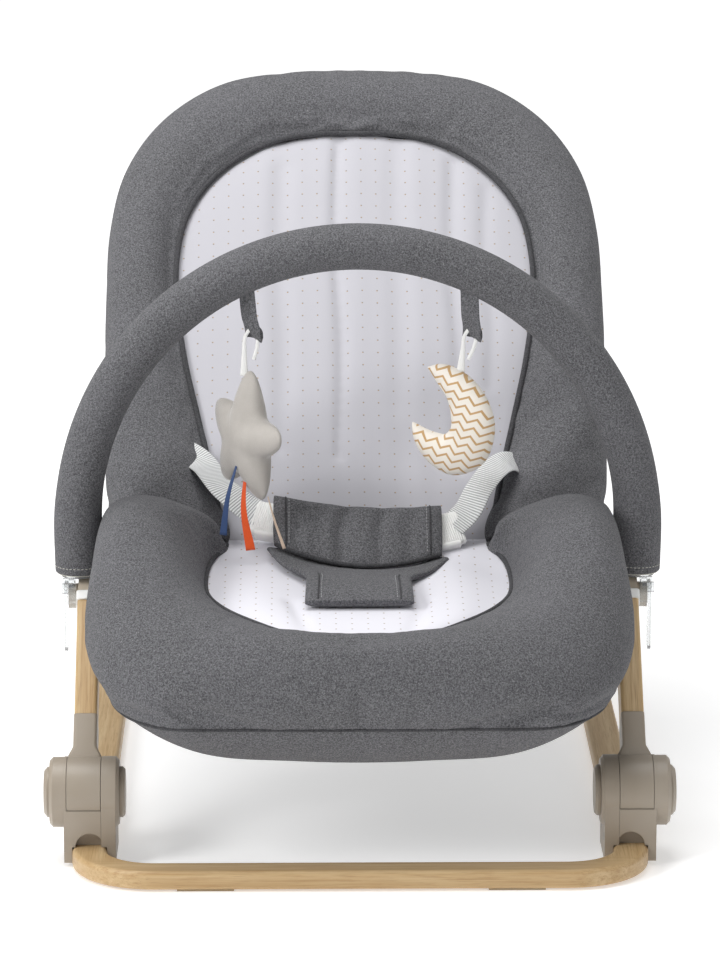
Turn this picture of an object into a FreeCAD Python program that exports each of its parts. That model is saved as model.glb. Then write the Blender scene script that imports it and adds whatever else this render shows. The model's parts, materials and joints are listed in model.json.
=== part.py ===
import FreeCAD, Part

import math
import os
import re

import Sketcher
from FreeCAD import Placement, Rotation, Vector

# A baby bouncer seat, in millimetres. +X is the right side seen from the front, +Y points to
# the rear and +Z up. The origin is on the floor, at the middle of the base ring.

SIZES = {
    # base ring of bent wood
    "ring_half_width": 225, "ring_half_depth": 325, "bar_width": 27, "bar_height": 15,
    "bar_edge": 4, "ring_bend": 52, "foot_height": 1.5, "foot_length": 44, "foot_width": 20,
    "foot_x": 120, "dowel_radius": 3, "dowel_half_length": 22,
    # hubs: the leg pivots in a two-part shell that straddles the ring
    "hub_x": 216, "hub_y": -233, "hub_z": 54, "hub_radius": 27.5, "barrel_half": 13.2,
    "cheek_gap": 0.3, "shell_inner": 191, "shell_outer": 231.5, "disc_inner": 188.5,
    "disc_outer": 243, "disc_bevel": 2.5, "shell_front": 26, "shell_rear": 30, "lip_floor": 3,
    "cradle_gap": 0.4, "arch_radius": 11, "arch_depth": 6, "socket_cut": 15,
    "axle_radius": 5, "running_gap": 0.05, "bolt_head_radius": 8.5, "bolt_head_outer": 189.5,
    "bolt_head_height": 6, "nut_radius": 8.5, "nut_height": 5, "recess_radius": 20.1,
    "recess_floor": 234, "cap_radius": 20, "cap_outer": 184, "cap_bevel": 2,
    "screw_radius": 1.8, "screw_head_radius": 3.5, "screw_head_height": 2.5, "screw_length": 28,
    "shell_screw_y": 17, "shell_screw_z": 21.3,
    # fold buttons
    "button_radius": 19.8, "button_inner": 238.5, "button_shoulder": 245, "button_outer": 247.5,
    "button_crown": 17, "button_bore": 14, "button_web": 243.5, "push_pin_radius": 1.8,
    "push_pin_circle": 16.5, "push_pin_end": 228, "push_pin_gap": 0.2, "spring_radius": 11.5,
    "spring_wire": 0.8, "spring_pitch": 2.2, "spring_turns": 3.6, "spring_steps": 18,
    "gear_inner": 219, "gear_radius": 16.4, "gear_tooth": 2, "gear_bore": 6,
    "gear_room_radius": 19, "gear_room_inner": 214,
    # legs
    "leg_lean": 45, "leg_length": 182, "leg_half_width": 9, "leg_depth": 30, "leg_edge": 3,
    "socket_half_width": 9.3, "socket_depth": 31, "socket_end": 62, "socket_flare": 30,
    "stem_start": 4, "socket_step": 3, "socket_blend": 8, "socket_edge": 2.5,
    "tenon_start": 36, "tenon_half_width": 5, "tenon_depth": 20, "collar_start": 167,
    "collar_height": 8, "collar_half_width": 10, "collar_depth": 33, "post_half_width": 8.5,
    "post_radius": 13.5, "post_tenon": 150, "post_tenon_depth": 16, "socket_screw_at": 50,
    "boss_radius": 8, "boss_outer": 232.6, "pin_inner": 179.5, "pin_outer": 216,
    # seat frame
    "tube_x": 190, "tube_radius": 8, "back_lean": 45, "back_tube_drop": 25,
    "back_tube_start": 14, "back_tube_top": 500, "back_tube_bend": 110, "seat_tube_drop": 27,
    "seat_tube_start": 10, "seat_tube_front": 194, "seat_tube_bend": 95, "joint_inner": 179.5,
    "joint_outer": 203.5, "joint_front": 46, "joint_step_depth": 17, "joint_heel": 12,
    "joint_rear": 54, "joint_crest": 38, "joint_low": 37, "joint_shelf": 15, "joint_tip": 3,
    "joint_top": 19, "joint_edge": 5, "joint_round": 14, "joint_room_gap": 3,
    "rivet_radius": 2.5, "back_rivet_at": 28, "seat_rivet_at": 30,
    # padding, measured from the seat pivot along the back and off it
    "pad_half_width": 210, "hip_half_width": 204, "pad_bottom": 36, "pad_waist": 120,
    "pad_shoulder": 220, "pad_top": 537, "pad_corner": 140, "pad_rear": 52, "pad_front": 16,
    "liner_half_width": 147, "liner_hip": 112, "liner_bottom": 50, "liner_top": 460,
    "liner_corner": 130, "liner_floor": 12, "liner_thickness": 8, "liner_gap": 0.5,
    "seat_bottom": 125, "seat_top": 192, "seat_rear": -70, "seat_front": -322,
    "seat_corner": 115, "seat_liner_front": -262, "seat_liner_half_width": 126,
    "seat_liner_corner": 95, "seat_liner_thickness": 10, "wing_inner": 138, "wing_outer": 200,
    "wing_top": 266, "wing_front": -158, "wing_toe": -287,
    "skirt_bottom": 88, "skirt_half_width": 196, "skirt_low_half_width": 120,
    "skirt_front": -314, "skirt_low_front": -268, "skirt_rear": -74, "skirt_low_rear": -98,
    "skirt_corner": 100, "skirt_low_corner": 70, "skirt_rear_corner": 30,
    # harness
    "waist_half_width": 64, "waist_length": 58, "waist_thickness": 10, "waist_y": -100,
    "waist_z": 233, "crotch_half_width": 43, "crotch_front": -225, "crotch_rear": -128,
    "crotch_thickness": 11, "strap_width": 25, "strap_thickness": 1.5, "slot_x": 134,
    "slot_y": -20, "slot_z": 297, "clasp_x": 84, "clasp_y": -84, "clasp_z": 240,
    "buckle_length": 26, "buckle_width": 27, "buckle_thickness": 9, "tag_x": 204.4,
    "tag_thickness": 0.8, "tag_front": -216, "tag_length": 20, "tag_bottom": 172,
    "tag_height": 33,
    # toy bar
    "arch_x": 224.5, "arch_top": 465, "arch_foot": 200, "core_radius": 8, "foam_radius": 17,
    "sleeve_radius": 18.5, "clip_inner": 226.6, "clip_outer": 232.4, "clip_radius": 12.5,
    "clip_slot": 11, "clip_arm_half": 8, "flange_radius": 14, "flange_height": 2.3,
    "plug_radius": 6, "plug_height": 24, "lever_pin_radius": 1.5, "lever_pin_rise": 6,
    "lever_inner": 233.4, "lever_thickness": 2.6, "lever_width": 15, "lever_drop": 52,
    "lever_rise": 2.4, "ear_outer": 238, "ear_thickness": 3, "ear_gap": 0.3,
    "ear_half_height": 4, "loop_x": 88.5, "loop_half_width": 9, "loop_bottom": 391,
    "loop_tape": 1.5, "loop_gap": 6, "loop_top": 436,
    # toys
    "ring_half": 12.4, "ring_bar": 2.4, "ring_bar_radius": 1.71, "ring_top": 395.8,
    "ring_bottom": 365, "ring_corner": 3,
    "star_z": 308, "star_radius": 54, "star_valley": 29, "star_tip": 7,
    "star_thickness": 24, "star_turn": -58, "ribbon_x": 86, "ribbon_width": 8,
    "ribbon_spacing": 12, "ribbon_bottom": 226, "ribbon_top": 266, "ribbon_thickness": 0.8,
    "ribbon_offset": 14, "moon_x": 69, "moon_z": 319, "moon_radius": 45,
    "moon_bite_radius": 32, "moon_bite_x": 43, "moon_bite_z": 335, "moon_thickness": 24,
}

# The seat pivot is at the top of the legs.
PIVOT_Y = "(hub_y + leg_length * cos(leg_lean))"
PIVOT_Z = "(hub_z + leg_length * sin(leg_lean))"
SIDES = (("left", -1), ("right", 1))

doc = FreeCAD.newDocument("bouncer_seat")
sheet = doc.addObject("Spreadsheet::Sheet", "size")
for row, (alias, value) in enumerate(SIZES.items(), 1):
    sheet.set(f"A{row}", alias)
    sheet.set(f"B{row}", str(value))
    sheet.setAlias(f"B{row}", alias)
doc.recompute()

parts = []


# ---- expressions ----

def bound(expression):
    """Put the sheet's name before each alias of an expression."""
    def word(match):
        name = match.group()
        return f"size.{name}" if name in SIZES else name
    return re.sub(r"[A-Za-z_]\w*", word, str(expression))


def number(expression):
    return float(sheet.evalExpression(bound(expression)))


def bind(item, **properties):
    for name, expression in properties.items():
        item.setExpression(name, bound(expression))


def place(item, x="0", y="0", z="0", rotation=None):
    """Bind an object's place to the sheet; its rotation is set in its own frame."""
    item.Placement = Placement(Vector(0, 0, 0), rotation or Rotation())
    for axis, expression in (("x", x), ("y", y), ("z", z)):
        item.setExpression(f"Placement.Base.{axis}", bound(expression))
    return item


def lean(angle):
    """Turn about +X: local Y then runs up and to the rear, and local Z off the front."""
    return Rotation(Vector(1, 0, 0), number(angle))


def span(side, near, far):
    """Low X of a piece that reaches from near to far on one side."""
    return near if side > 0 else f"-({far})"


# ---- primitives and booleans ----

TURNS = {
    "X": Rotation(Vector(0, 1, 0), 90),
    "Y": Rotation(Vector(1, 0, 0), -90),
    "Z": Rotation(),
}


def cylinder(name, axis, radius, length, x, y, z):
    item = doc.addObject("Part::Cylinder", name)
    bind(item, Radius=radius, Height=length)
    return place(item, x, y, z, TURNS[axis])


def side_cylinder(name, side, radius, near, far, y, z):
    return cylinder(name, "X", radius, f"{far} - ({near})", span(side, near, far), y, z)


def side_cone(name, side, near_radius, far_radius, near, far, y, z):
    item = doc.addObject("Part::Cone", name)
    low, high = (near_radius, far_radius) if side > 0 else (far_radius, near_radius)
    bind(item, Radius1=low, Radius2=high, Height=f"{far} - ({near})")
    return place(item, span(side, near, far), y, z, TURNS["X"])


def box(name, length, width, height, x, y, z):
    item = doc.addObject("Part::Box", name)
    bind(item, Length=length, Width=width, Height=height)
    return place(item, x, y, z)


def side_box(name, side, near, far, y_low, y_high, z_low, z_high):
    return box(name, f"{far} - ({near})", f"{y_high} - ({y_low})", f"{z_high} - ({z_low})",
               span(side, near, far), y_low, z_low)


def fuse(name, *pieces):
    item = doc.addObject("Part::MultiFuse", name)
    item.Shapes = list(pieces)
    return item


def group(name, *pieces):
    item = doc.addObject("Part::Compound", name)
    item.Links = list(pieces)
    return item


def cut(name, base, *tools):
    for index, tool in enumerate(tools):
        step = doc.addObject("Part::Cut", name if tool is tools[-1] else f"{name}_cut_{index}")
        step.Base = base
        step.Tool = tool
        base = step
    return base


def keep(item, label):
    """Mark an object as a sub-part of the bouncer."""
    item.Label = label
    parts.append(item)
    return item


# ---- sketches and bodies ----

def bind_point(sketch, geometry, point, place_now, names, expressions):
    for kind, now, name, expression in zip(("DistanceX", "DistanceY"), place_now, names, expressions):
        index = sketch.addConstraint(Sketcher.Constraint(kind, -1, 1, geometry, point, now))
        sketch.renameConstraint(index, name)
        sketch.setExpression(f"Constraints.{name}", bound(expression))


def corner_arc(sketch, here, before, after, radius):
    """Add the arc of a rounded corner; say which of its ends comes first along the outline."""
    back = (before - here).normalize()
    on = (after - here).normalize()
    half = back.getAngle(on) / 2
    reach = radius / math.tan(half)
    centre = here + (back + on).normalize() * (radius / math.sin(half))
    entry, leave = here + back * reach, here + on * reach
    turns_left = back.cross(on).z < 0
    first, last = (entry, leave) if turns_left else (leave, entry)
    start = math.atan2(first.y - centre.y, first.x - centre.x)
    end = math.atan2(last.y - centre.y, last.x - centre.x)
    if end < start:
        end += 2 * math.pi
    circle = Part.Circle(centre, Vector(0, 0, 1), radius)
    arc = sketch.addGeometry(Part.ArcOfCircle(circle, start, end), False)
    return arc, entry, leave, (1, 2) if turns_left else (2, 1)


def outline(sketch, corners, closed=True):
    """Draw straight runs through the corners; a corner is (x, y) or (x, y, radius)."""
    count = len(corners)
    points = [Vector(number(corner[0]), number(corner[1]), 0) for corner in corners]
    ends = [(point, point) for point in points]
    arcs = {}
    for i, corner in enumerate(corners):
        if len(corner) == 3:
            before, after = points[i - 1], points[(i + 1) % count]
            arc, entry, leave, order = corner_arc(sketch, points[i], before, after, number(corner[2]))
            ends[i] = (entry, leave)
            arcs[i] = (arc, order)
    runs = []
    for i in range(count if closed else count - 1):
        line = Part.LineSegment(ends[i][1], ends[(i + 1) % count][0])
        runs.append(sketch.addGeometry(line, False))
    for i, corner in enumerate(corners):
        into = runs[i - 1] if closed or i > 0 else None
        out = runs[i] if i < len(runs) else None
        names = (f"x{i}", f"y{i}")
        if i not in arcs:
            if into is not None and out is not None:
                sketch.addConstraint(Sketcher.Constraint("Coincident", into, 2, out, 1))
            held = (out, 1) if out is not None else (into, 2)
            bind_point(sketch, *held, (points[i].x, points[i].y), names, corner[:2])
            continue
        arc, (first, last) = arcs[i]
        mark = sketch.addGeometry(Part.Point(points[i]), True)
        bind_point(sketch, mark, 1, (points[i].x, points[i].y), names, corner[:2])
        sketch.addConstraint(Sketcher.Constraint("PointOnObject", mark, 1, into))
        sketch.addConstraint(Sketcher.Constraint("PointOnObject", mark, 1, out))
        sketch.addConstraint(Sketcher.Constraint("Tangent", into, 2, arc, first))
        sketch.addConstraint(Sketcher.Constraint("Tangent", out, 1, arc, last))
        index = sketch.addConstraint(Sketcher.Constraint("Radius", arc, number(corner[2])))
        sketch.renameConstraint(index, f"radius{i}")
        sketch.setExpression(f"Constraints.radius{i}", bound(corner[2]))


def new_sketch(body, plane, name, offset="0"):
    sketch = body.newObject("Sketcher::SketchObject", name)
    support = [feature for feature in body.Origin.OriginFeatures if feature.Role == plane][0]
    sketch.AttachmentSupport = [(support, "")]
    sketch.MapMode = "FlatFace"
    sketch.setExpression("AttachmentOffset.Base.z", bound(offset))
    return sketch


def new_body(name, x="0", y="0", z="0", rotation=None):
    return place(doc.addObject("PartDesign::Body", name), x, y, z, rotation)


def add_pad(body, plane, corners, length, offset="0", middle=False):
    order = len(body.Group)
    sketch = new_sketch(body, plane, f"{body.Name}_outline{order}", offset)
    outline(sketch, corners)
    pad = body.newObject("PartDesign::Pad", f"{body.Name}_pad{order}")
    pad.Profile = sketch
    bind(pad, Length=length)
    pad.Midplane = middle
    return pad


def add_pocket(body, plane, corners, length, offset):
    """Cut an outline out of the body, away from the plane's positive side."""
    order = len(body.Group)
    sketch = new_sketch(body, plane, f"{body.Name}_outline{order}", offset)
    outline(sketch, corners)
    pocket = body.newObject("PartDesign::Pocket", f"{body.Name}_pocket{order}")
    pocket.Profile = sketch
    bind(pocket, Length=length)
    return pocket


def add_fillet(body, feature, radius, wanted):
    """Round the edges of a feature that the test picks, in the body's own frame."""
    doc.recompute()
    edges = [f"Edge{i}" for i, edge in enumerate(feature.Shape.Edges, 1) if wanted(edge)]
    fillet = body.newObject("PartDesign::Fillet", f"{body.Name}_fillet")
    fillet.Base = (feature, edges)
    bind(fillet, Radius=radius)
    return fillet


def along(axis):
    """A test for straight edges that run along an axis."""
    def wanted(edge):
        step = edge.Vertexes[-1].Point - edge.Vertexes[0].Point
        return step.Length > 1 and abs(step.normalize().dot(axis)) > 0.999
    return wanted


def add_circle(sketch, radius, x):
    circle = Part.Circle(Vector(number(x), 0, 0), Vector(0, 0, 1), number(radius))
    ring = sketch.addGeometry(circle, False)
    bind_point(sketch, ring, 3, (number(x), 0), ("x", "y"), (x, "0"))
    index = sketch.addConstraint(Sketcher.Constraint("Radius", ring, number(radius)))
    sketch.renameConstraint(index, "radius")
    sketch.setExpression("Constraints.radius", bound(radius))


def pipe(body, path_plane, path, section_plane, section=None, radius=None, offset="0"):
    """Sweep a section along an open path that starts on the section's plane."""
    spine = new_sketch(body, path_plane, f"{body.Name}_path")
    outline(spine, path, closed=False)
    profile = new_sketch(body, section_plane, f"{body.Name}_section", offset)
    if section:
        outline(profile, section)
    else:
        add_circle(profile, radius, path[0][0])
    sweep = body.newObject("PartDesign::AdditivePipe", f"{body.Name}_sweep")
    sweep.Profile = profile
    sweep.Spine = (spine, [])
    return sweep


# ---- base ring ----

RAIL_X = "(ring_half_width - bar_width / 2)"
RAIL_Y = "(ring_half_depth - bar_width / 2)"
BAR_Z = "(foot_height + bar_height / 2)"
BAR_TOP = "(foot_height + bar_height)"


def ring_bar(name, far_y):
    """Half of the ring: a bent bar whose ends meet inside the hub shells."""
    body = new_body(name, y="hub_y", z=BAR_Z)
    path = [
        (f"-{RAIL_X}", "0"),
        (f"-{RAIL_X}", far_y, "ring_bend"),
        (RAIL_X, far_y, "ring_bend"),
        (RAIL_X, "0"),
    ]
    inner, outer = f"-{RAIL_X} + bar_width / 2", f"-{RAIL_X} - bar_width / 2"
    section = [
        (outer, "-bar_height / 2", "bar_edge"),
        (inner, "-bar_height / 2", "bar_edge"),
        (inner, "bar_height / 2", "bar_edge"),
        (outer, "bar_height / 2", "bar_edge"),
    ]
    pipe(body, "XY_Plane", path, "XZ_Plane", section=section)
    return body


dowels = []
for word, side in SIDES:
    dowels.append(cylinder(f"{word}_dowel", "Y", "dowel_radius", "dowel_half_length * 2",
                           f"{side} * {RAIL_X}", "hub_y - dowel_half_length", BAR_Z))
keep(group("dowel_pair", *dowels), "rail_dowels")
keep(cut("front_bar_drilled", ring_bar("front_bar", f"-{RAIL_Y} - hub_y"), *dowels), "base_front_bar")
keep(cut("rear_bar_drilled", ring_bar("rear_bar", f"{RAIL_Y} - hub_y"), *dowels), "base_rear_bar")

feet = []
for end in (-1, 1):
    for word, side in SIDES:
        feet.append(box(f"foot_{word}_{end + 1}", "foot_length", "foot_width", "foot_height",
                        f"{side} * foot_x - foot_length / 2", f"{end} * {RAIL_Y} - foot_width / 2", "0"))
keep(group("feet", *feet), "floor_pads")

# ---- hub shells, axle and fold button ----

SHELL_PROFILE = [
    ("-shell_front", "lip_floor - hub_z", "3"),
    ("shell_rear", "lip_floor - hub_z", "3"),
    ("hub_radius", "hub_radius", "hub_radius - 1"),
    ("-hub_radius", "hub_radius", "hub_radius - 1"),
]
BARREL_IN = "(hub_x - barrel_half)"
BARREL_OUT = "(hub_x + barrel_half)"
SPLIT = "(hub_x - barrel_half - cheek_gap)"


def shell_plate(name, side, near, far):
    """A slice of the shell: a round top over feet that straddle the ring."""
    body = new_body(name, span(side, near, far), "hub_y", "hub_z")
    add_pad(body, "YZ_Plane", SHELL_PROFILE, f"{far} - ({near})")
    return body


def at_hub(function, name, side, *sizes):
    return function(name, side, *sizes, "hub_y", "hub_z")


def hub(word, side):
    bolt_start = "(bolt_head_outer + bolt_head_height)"
    head = at_hub(side_cylinder, f"{word}_bolt_head", side, "bolt_head_radius", "bolt_head_outer", bolt_start)
    shank = at_hub(side_cylinder, f"{word}_bolt_shank", side, "axle_radius", bolt_start,
                   "(recess_floor + nut_height)")
    bolt = fuse(f"{word}_bolt", head, shank)

    nut_body = doc.addObject("Part::Prism", f"{word}_nut_blank")
    nut_body.Polygon = 6
    bind(nut_body, Circumradius="nut_radius", Height="nut_height")
    place(nut_body, span(side, "recess_floor", "(recess_floor + nut_height)"), "hub_y", "hub_z", TURNS["X"])
    nut = cut(f"{word}_nut", nut_body, shank)

    screws = []
    for end in (-1, 1):
        y, z = f"hub_y + {end} * shell_screw_y", "shell_screw_z"
        top = "(shell_inner + screw_head_height)"
        screws.append(fuse(
            f"{word}_screw_{end + 1}",
            side_cylinder(f"{word}_screw_head_{end + 1}", side, "screw_head_radius", "shell_inner",
                          top, y, z),
            side_cylinder(f"{word}_screw_shank_{end + 1}", side, "screw_radius", top,
                          "(shell_inner + screw_length)", y, z)))

    bar_room = side_box(f"{word}_bar_room", side, f"({RAIL_X} - bar_width / 2)", "ring_half_width",
                        "(hub_y - shell_front - 2)", "(hub_y + shell_rear + 2)", "0", BAR_TOP)
    barrel_room = at_hub(side_cylinder, f"{word}_barrel_room", side, "hub_radius + cradle_gap",
                         f"({SPLIT} - 1)", f"({BARREL_OUT} + cheek_gap)")
    socket_room = side_box(f"{word}_socket_room", side, f"({SPLIT} - 1)", f"({BARREL_OUT} + cheek_gap)",
                           "hub_y", "(hub_y + shell_rear + 2)", "(hub_z - socket_cut)",
                           "(hub_z + hub_radius)")
    button_room = at_hub(side_cylinder, f"{word}_button_room", side, "recess_radius", "recess_floor",
                         "(disc_outer + 1)")
    arch = cylinder(f"{word}_arch", "Y", "arch_radius", "arch_depth * 2", f"{side} * {RAIL_X}",
                    "hub_y - shell_front - arch_depth", BAR_TOP)
    pin_rooms = [push_pin(f"{word}_pin_room_{i}", side, i, "push_pin_radius + push_pin_gap")
                 for i in range(3)]

    shoulder = "(disc_outer - disc_bevel)"
    outer = fuse(
        f"{word}_outer_blank",
        shell_plate(f"{word}_outer_plate", side, SPLIT, "shell_outer"),
        at_hub(side_cylinder, f"{word}_outer_disc", side, "hub_radius", f"({BARREL_OUT} + cheek_gap)",
               shoulder),
        at_hub(side_cone, f"{word}_outer_bevel", side, "hub_radius", "hub_radius - disc_bevel", shoulder,
               "disc_outer"))
    outer = cut(f"{word}_outer", outer, barrel_room, socket_room, bar_room, arch, button_room, bolt,
                *screws, *pin_rooms)
    keep(outer, f"{word}_hub_outer_shell")

    inner_shoulder = "(disc_inner + disc_bevel)"
    inner = fuse(
        f"{word}_inner_blank",
        shell_plate(f"{word}_inner_plate", side, "shell_inner", f"({SPLIT} - 0.1)"),
        at_hub(side_cylinder, f"{word}_inner_disc", side, "hub_radius", inner_shoulder, f"({SPLIT} - 0.1)"),
        at_hub(side_cone, f"{word}_inner_bevel", side, "hub_radius - disc_bevel", "hub_radius", "disc_inner",
               inner_shoulder))
    head_room = at_hub(side_cylinder, f"{word}_head_room", side, "bolt_head_radius", "(disc_inner - 1)",
                       bolt_start)
    keep(cut(f"{word}_inner", inner, bar_room, head_room, bolt, *screws), f"{word}_hub_inner_shell")

    cap_shoulder = "(cap_outer + cap_bevel)"
    cap = fuse(
        f"{word}_cap",
        at_hub(side_cone, f"{word}_cap_bevel", side, "cap_radius - cap_bevel", "cap_radius", "cap_outer",
               cap_shoulder),
        at_hub(side_cylinder, f"{word}_cap_disc", side, "cap_radius", cap_shoulder, "disc_inner"))
    return bolt, nut, screws, cap


def push_pin(name, side, index, radius):
    """One of the three pins that join the button to its lock gear through the shell."""
    angle = 90 + 120 * index
    return side_cylinder(name, side, radius, "push_pin_end", "button_inner",
                         f"hub_y + push_pin_circle * cos({angle})",
                         f"hub_z + push_pin_circle * sin({angle})")


def fold_button(word, side):
    rim = at_hub(side_cylinder, f"{word}_button_rim", side, "button_radius", "button_inner",
                 "button_shoulder")
    crown = at_hub(side_cone, f"{word}_button_crown", side, "button_radius", "button_crown",
                   "button_shoulder", "button_outer")
    hollow = at_hub(side_cylinder, f"{word}_button_hollow", side, "button_bore", "(button_inner - 1)",
                    "button_web")
    cup = cut(f"{word}_button_cup", fuse(f"{word}_button_blank", rim, crown), hollow)
    pins = [push_pin(f"{word}_push_pin_{i}", side, i, "push_pin_radius") for i in range(3)]
    keep(fuse(f"{word}_button", cup, *pins), f"{word}_fold_button")

    gear = new_body(f"{word}_gear", span(side, "gear_inner", "push_pin_end"), "hub_y", "hub_z")
    teeth = []
    for tooth in range(12):
        middle = 30 * tooth
        for offset, rise in ((-11, 0), (-6, 1), (6, 1), (11, 0)):
            reach = f"(gear_radius + {rise} * gear_tooth)"
            teeth.append((f"{reach} * cos({middle + offset})", f"{reach} * sin({middle + offset})"))
    add_pad(gear, "YZ_Plane", teeth, "push_pin_end - gear_inner")
    bore = at_hub(side_cylinder, f"{word}_gear_bore", side, "gear_bore", "(gear_inner - 1)",
                  "(push_pin_end + 1)")
    keep(cut(f"{word}_gear_bored", gear, bore), f"{word}_lock_gear")

    # The return spring is a real coil round the nut, between the shell and the button. It is
    # wound in short straight steps with mitred corners.
    steps = int(number("spring_steps * spring_turns"))
    turn = 2 * math.pi / number("spring_steps")
    coil_points = [Vector(number("spring_radius") * math.cos(turn * step),
                          number("spring_radius") * math.sin(turn * step),
                          number("spring_pitch / spring_steps") * step)
                   for step in range(steps + 1)]
    wire_end = Part.Circle(coil_points[0], coil_points[1] - coil_points[0], number("spring_wire"))
    wire_section = Part.Wire(wire_end.toShape())
    spring = doc.addObject("Part::Feature", f"{word}_spring")
    spring.Shape = Part.makePolygon(coil_points).makePipeShell([wire_section], True, False, 1)
    low = span(side, "(recess_floor + spring_wire)", "(button_web - spring_wire)")
    spring.Placement = Placement(Vector(number(low), number("hub_y"), number("hub_z")), TURNS["X"])
    keep(spring, f"{word}_button_spring")


hubs = {word: hub(word, side) for word, side in SIDES}
keep(group("bolts", *[made[0] for made in hubs.values()]), "hub_bolts")
keep(group("nuts", *[made[1] for made in hubs.values()]), "hub_nuts")
keep(group("screws", *[screw for made in hubs.values() for screw in made[2]]), "shell_screws")
keep(group("caps", *[made[3] for made in hubs.values()]), "hub_caps")
for word, side in SIDES:
    fold_button(word, side)

# ---- legs ----


def leg(word, side):
    """Socket, wood bar, collar and post along one leaning axis from the hub."""
    middle = f"{side} * hub_x"
    frame = dict(x=middle, y="hub_y", z="hub_z", rotation=lean("leg_lean"))

    bar = new_body(f"{word}_bar", **frame)
    wood = add_pad(bar, "XY_Plane", [
        ("-leg_half_width", "socket_end"), ("leg_half_width", "socket_end"),
        ("leg_half_width", "collar_start"), ("-leg_half_width", "collar_start"),
    ], "leg_depth", middle=True)
    add_fillet(bar, wood, "leg_edge", along(Vector(0, 1, 0)))
    add_pad(bar, "XY_Plane", [
        ("-tenon_half_width", "tenon_start"), ("tenon_half_width", "tenon_start"),
        ("tenon_half_width", "socket_end + 1"), ("-tenon_half_width", "socket_end + 1"),
    ], "tenon_depth", middle=True)

    post = new_body(f"{word}_post_blank", **frame)
    add_pad(post, "YZ_Plane", [
        ("collar_start + collar_height", "-post_radius"),
        ("leg_length + post_radius", "-post_radius", "post_radius - 0.1"),
        ("leg_length + post_radius", "post_radius", "post_radius - 0.1"),
        ("collar_start + collar_height", "post_radius"),
    ], "post_half_width * 2", middle=True)
    add_pad(post, "XY_Plane", [
        ("-tenon_half_width", "post_tenon"), ("tenon_half_width", "post_tenon"),
        ("tenon_half_width", "collar_start + collar_height + 1"),
        ("-tenon_half_width", "collar_start + collar_height + 1"),
    ], "post_tenon_depth", middle=True)
    boss = side_cylinder(f"{word}_boss", side, "boss_radius", "hub_x", "boss_outer", PIVOT_Y, PIVOT_Z)
    pin = side_cylinder(f"{word}_pivot_pin", side, "axle_radius", "pin_inner", "pin_outer", PIVOT_Y, PIVOT_Z)
    post = cut(f"{word}_post", fuse(f"{word}_post_body", post, boss), pin)
    keep(post, f"{word}_leg_post")

    screw_y = "hub_y + socket_screw_at * cos(leg_lean)"
    screw_z = "hub_z + socket_screw_at * sin(leg_lean)"
    face = "(hub_x - socket_half_width)"
    under_head = f"({face} + screw_head_height)"
    screw = fuse(
        f"{word}_leg_screw",
        side_cylinder(f"{word}_leg_screw_head", side, "screw_head_radius", face, under_head,
                      screw_y, screw_z),
        side_cylinder(f"{word}_leg_screw_shank", side, "screw_radius", under_head, "(hub_x + 5)",
                      screw_y, screw_z))
    keep(cut(f"{word}_bar_cut", bar, post, screw), f"{word}_leg_bar")

    collar = new_body(f"{word}_collar_blank", **frame)
    add_pad(collar, "XZ_Plane", [
        ("-collar_half_width", "-collar_depth / 2", "leg_edge"),
        ("collar_half_width", "-collar_depth / 2", "leg_edge"),
        ("collar_half_width", "collar_depth / 2", "leg_edge"),
        ("-collar_half_width", "collar_depth / 2", "leg_edge"),
    ], "collar_height", offset="-collar_start - collar_height")
    collar = cut(f"{word}_collar", collar, post)

    stem = new_body(f"{word}_stem", **frame)
    block = add_pad(stem, "XY_Plane", [
        ("-barrel_half", "stem_start"), ("barrel_half", "stem_start"),
        ("barrel_half", "hub_radius - socket_step", "socket_step"),
        ("socket_half_width", "socket_flare + socket_step", "socket_blend"),
        ("socket_half_width", "socket_end"), ("-socket_half_width", "socket_end"),
        ("-socket_half_width", "socket_flare + socket_step", "socket_blend"),
        ("-barrel_half", "hub_radius - socket_step", "socket_step"),
    ], "socket_depth", middle=True)
    add_fillet(stem, block, "socket_edge",
               lambda edge: along(Vector(0, 1, 0))(edge) and edge.CenterOfMass.y > number("socket_flare"))
    barrel = at_hub(side_cylinder, f"{word}_barrel", side, "hub_radius", BARREL_IN, BARREL_OUT)
    bore = at_hub(side_cylinder, f"{word}_barrel_bore", side, "axle_radius + running_gap",
                  f"({BARREL_IN} - 1)", f"({BARREL_OUT} + 1)")
    gear_room = at_hub(side_cylinder, f"{word}_gear_room", side, "gear_room_radius", "gear_room_inner",
                       f"({BARREL_OUT} + 1)")
    socket = fuse(f"{word}_socket_blank", barrel, stem)
    keep(cut(f"{word}_socket", socket, bore, gear_room, bar, screw), f"{word}_leg_socket")
    return collar, screw, pin


legs = [leg(word, side) for word, side in SIDES]
keep(group("collars", *[made[0] for made in legs]), "leg_collars")
keep(group("leg_screw_pair", *[made[1] for made in legs]), "socket_screws")
keep(group("pivot_pins", *[made[2] for made in legs]), "seat_pivot_pins")

# ---- seat frame ----

back_frame = dict(y=PIVOT_Y, z=PIVOT_Z, rotation=lean("back_lean"))


def back_point(along_back, off_back):
    """Floor-frame Y and Z of a point along the back and off it, from the seat pivot."""
    return (f"({PIVOT_Y} + ({along_back}) * cos(back_lean) - ({off_back}) * sin(back_lean))",
            f"({PIVOT_Z} + ({along_back}) * sin(back_lean) + ({off_back}) * cos(back_lean))")


tube_y, tube_z = back_point("back_tube_start", "-back_tube_drop")
back_tube = new_body("back_tube_rod", y=tube_y, z=tube_z, rotation=lean("back_lean"))
top = "back_tube_top - back_tube_start"
pipe(back_tube, "XY_Plane", [
    ("-tube_x", "0"), ("-tube_x", top, "back_tube_bend"),
    ("tube_x", top, "back_tube_bend"), ("tube_x", "0"),
], "XZ_Plane", radius="tube_radius")

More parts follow.
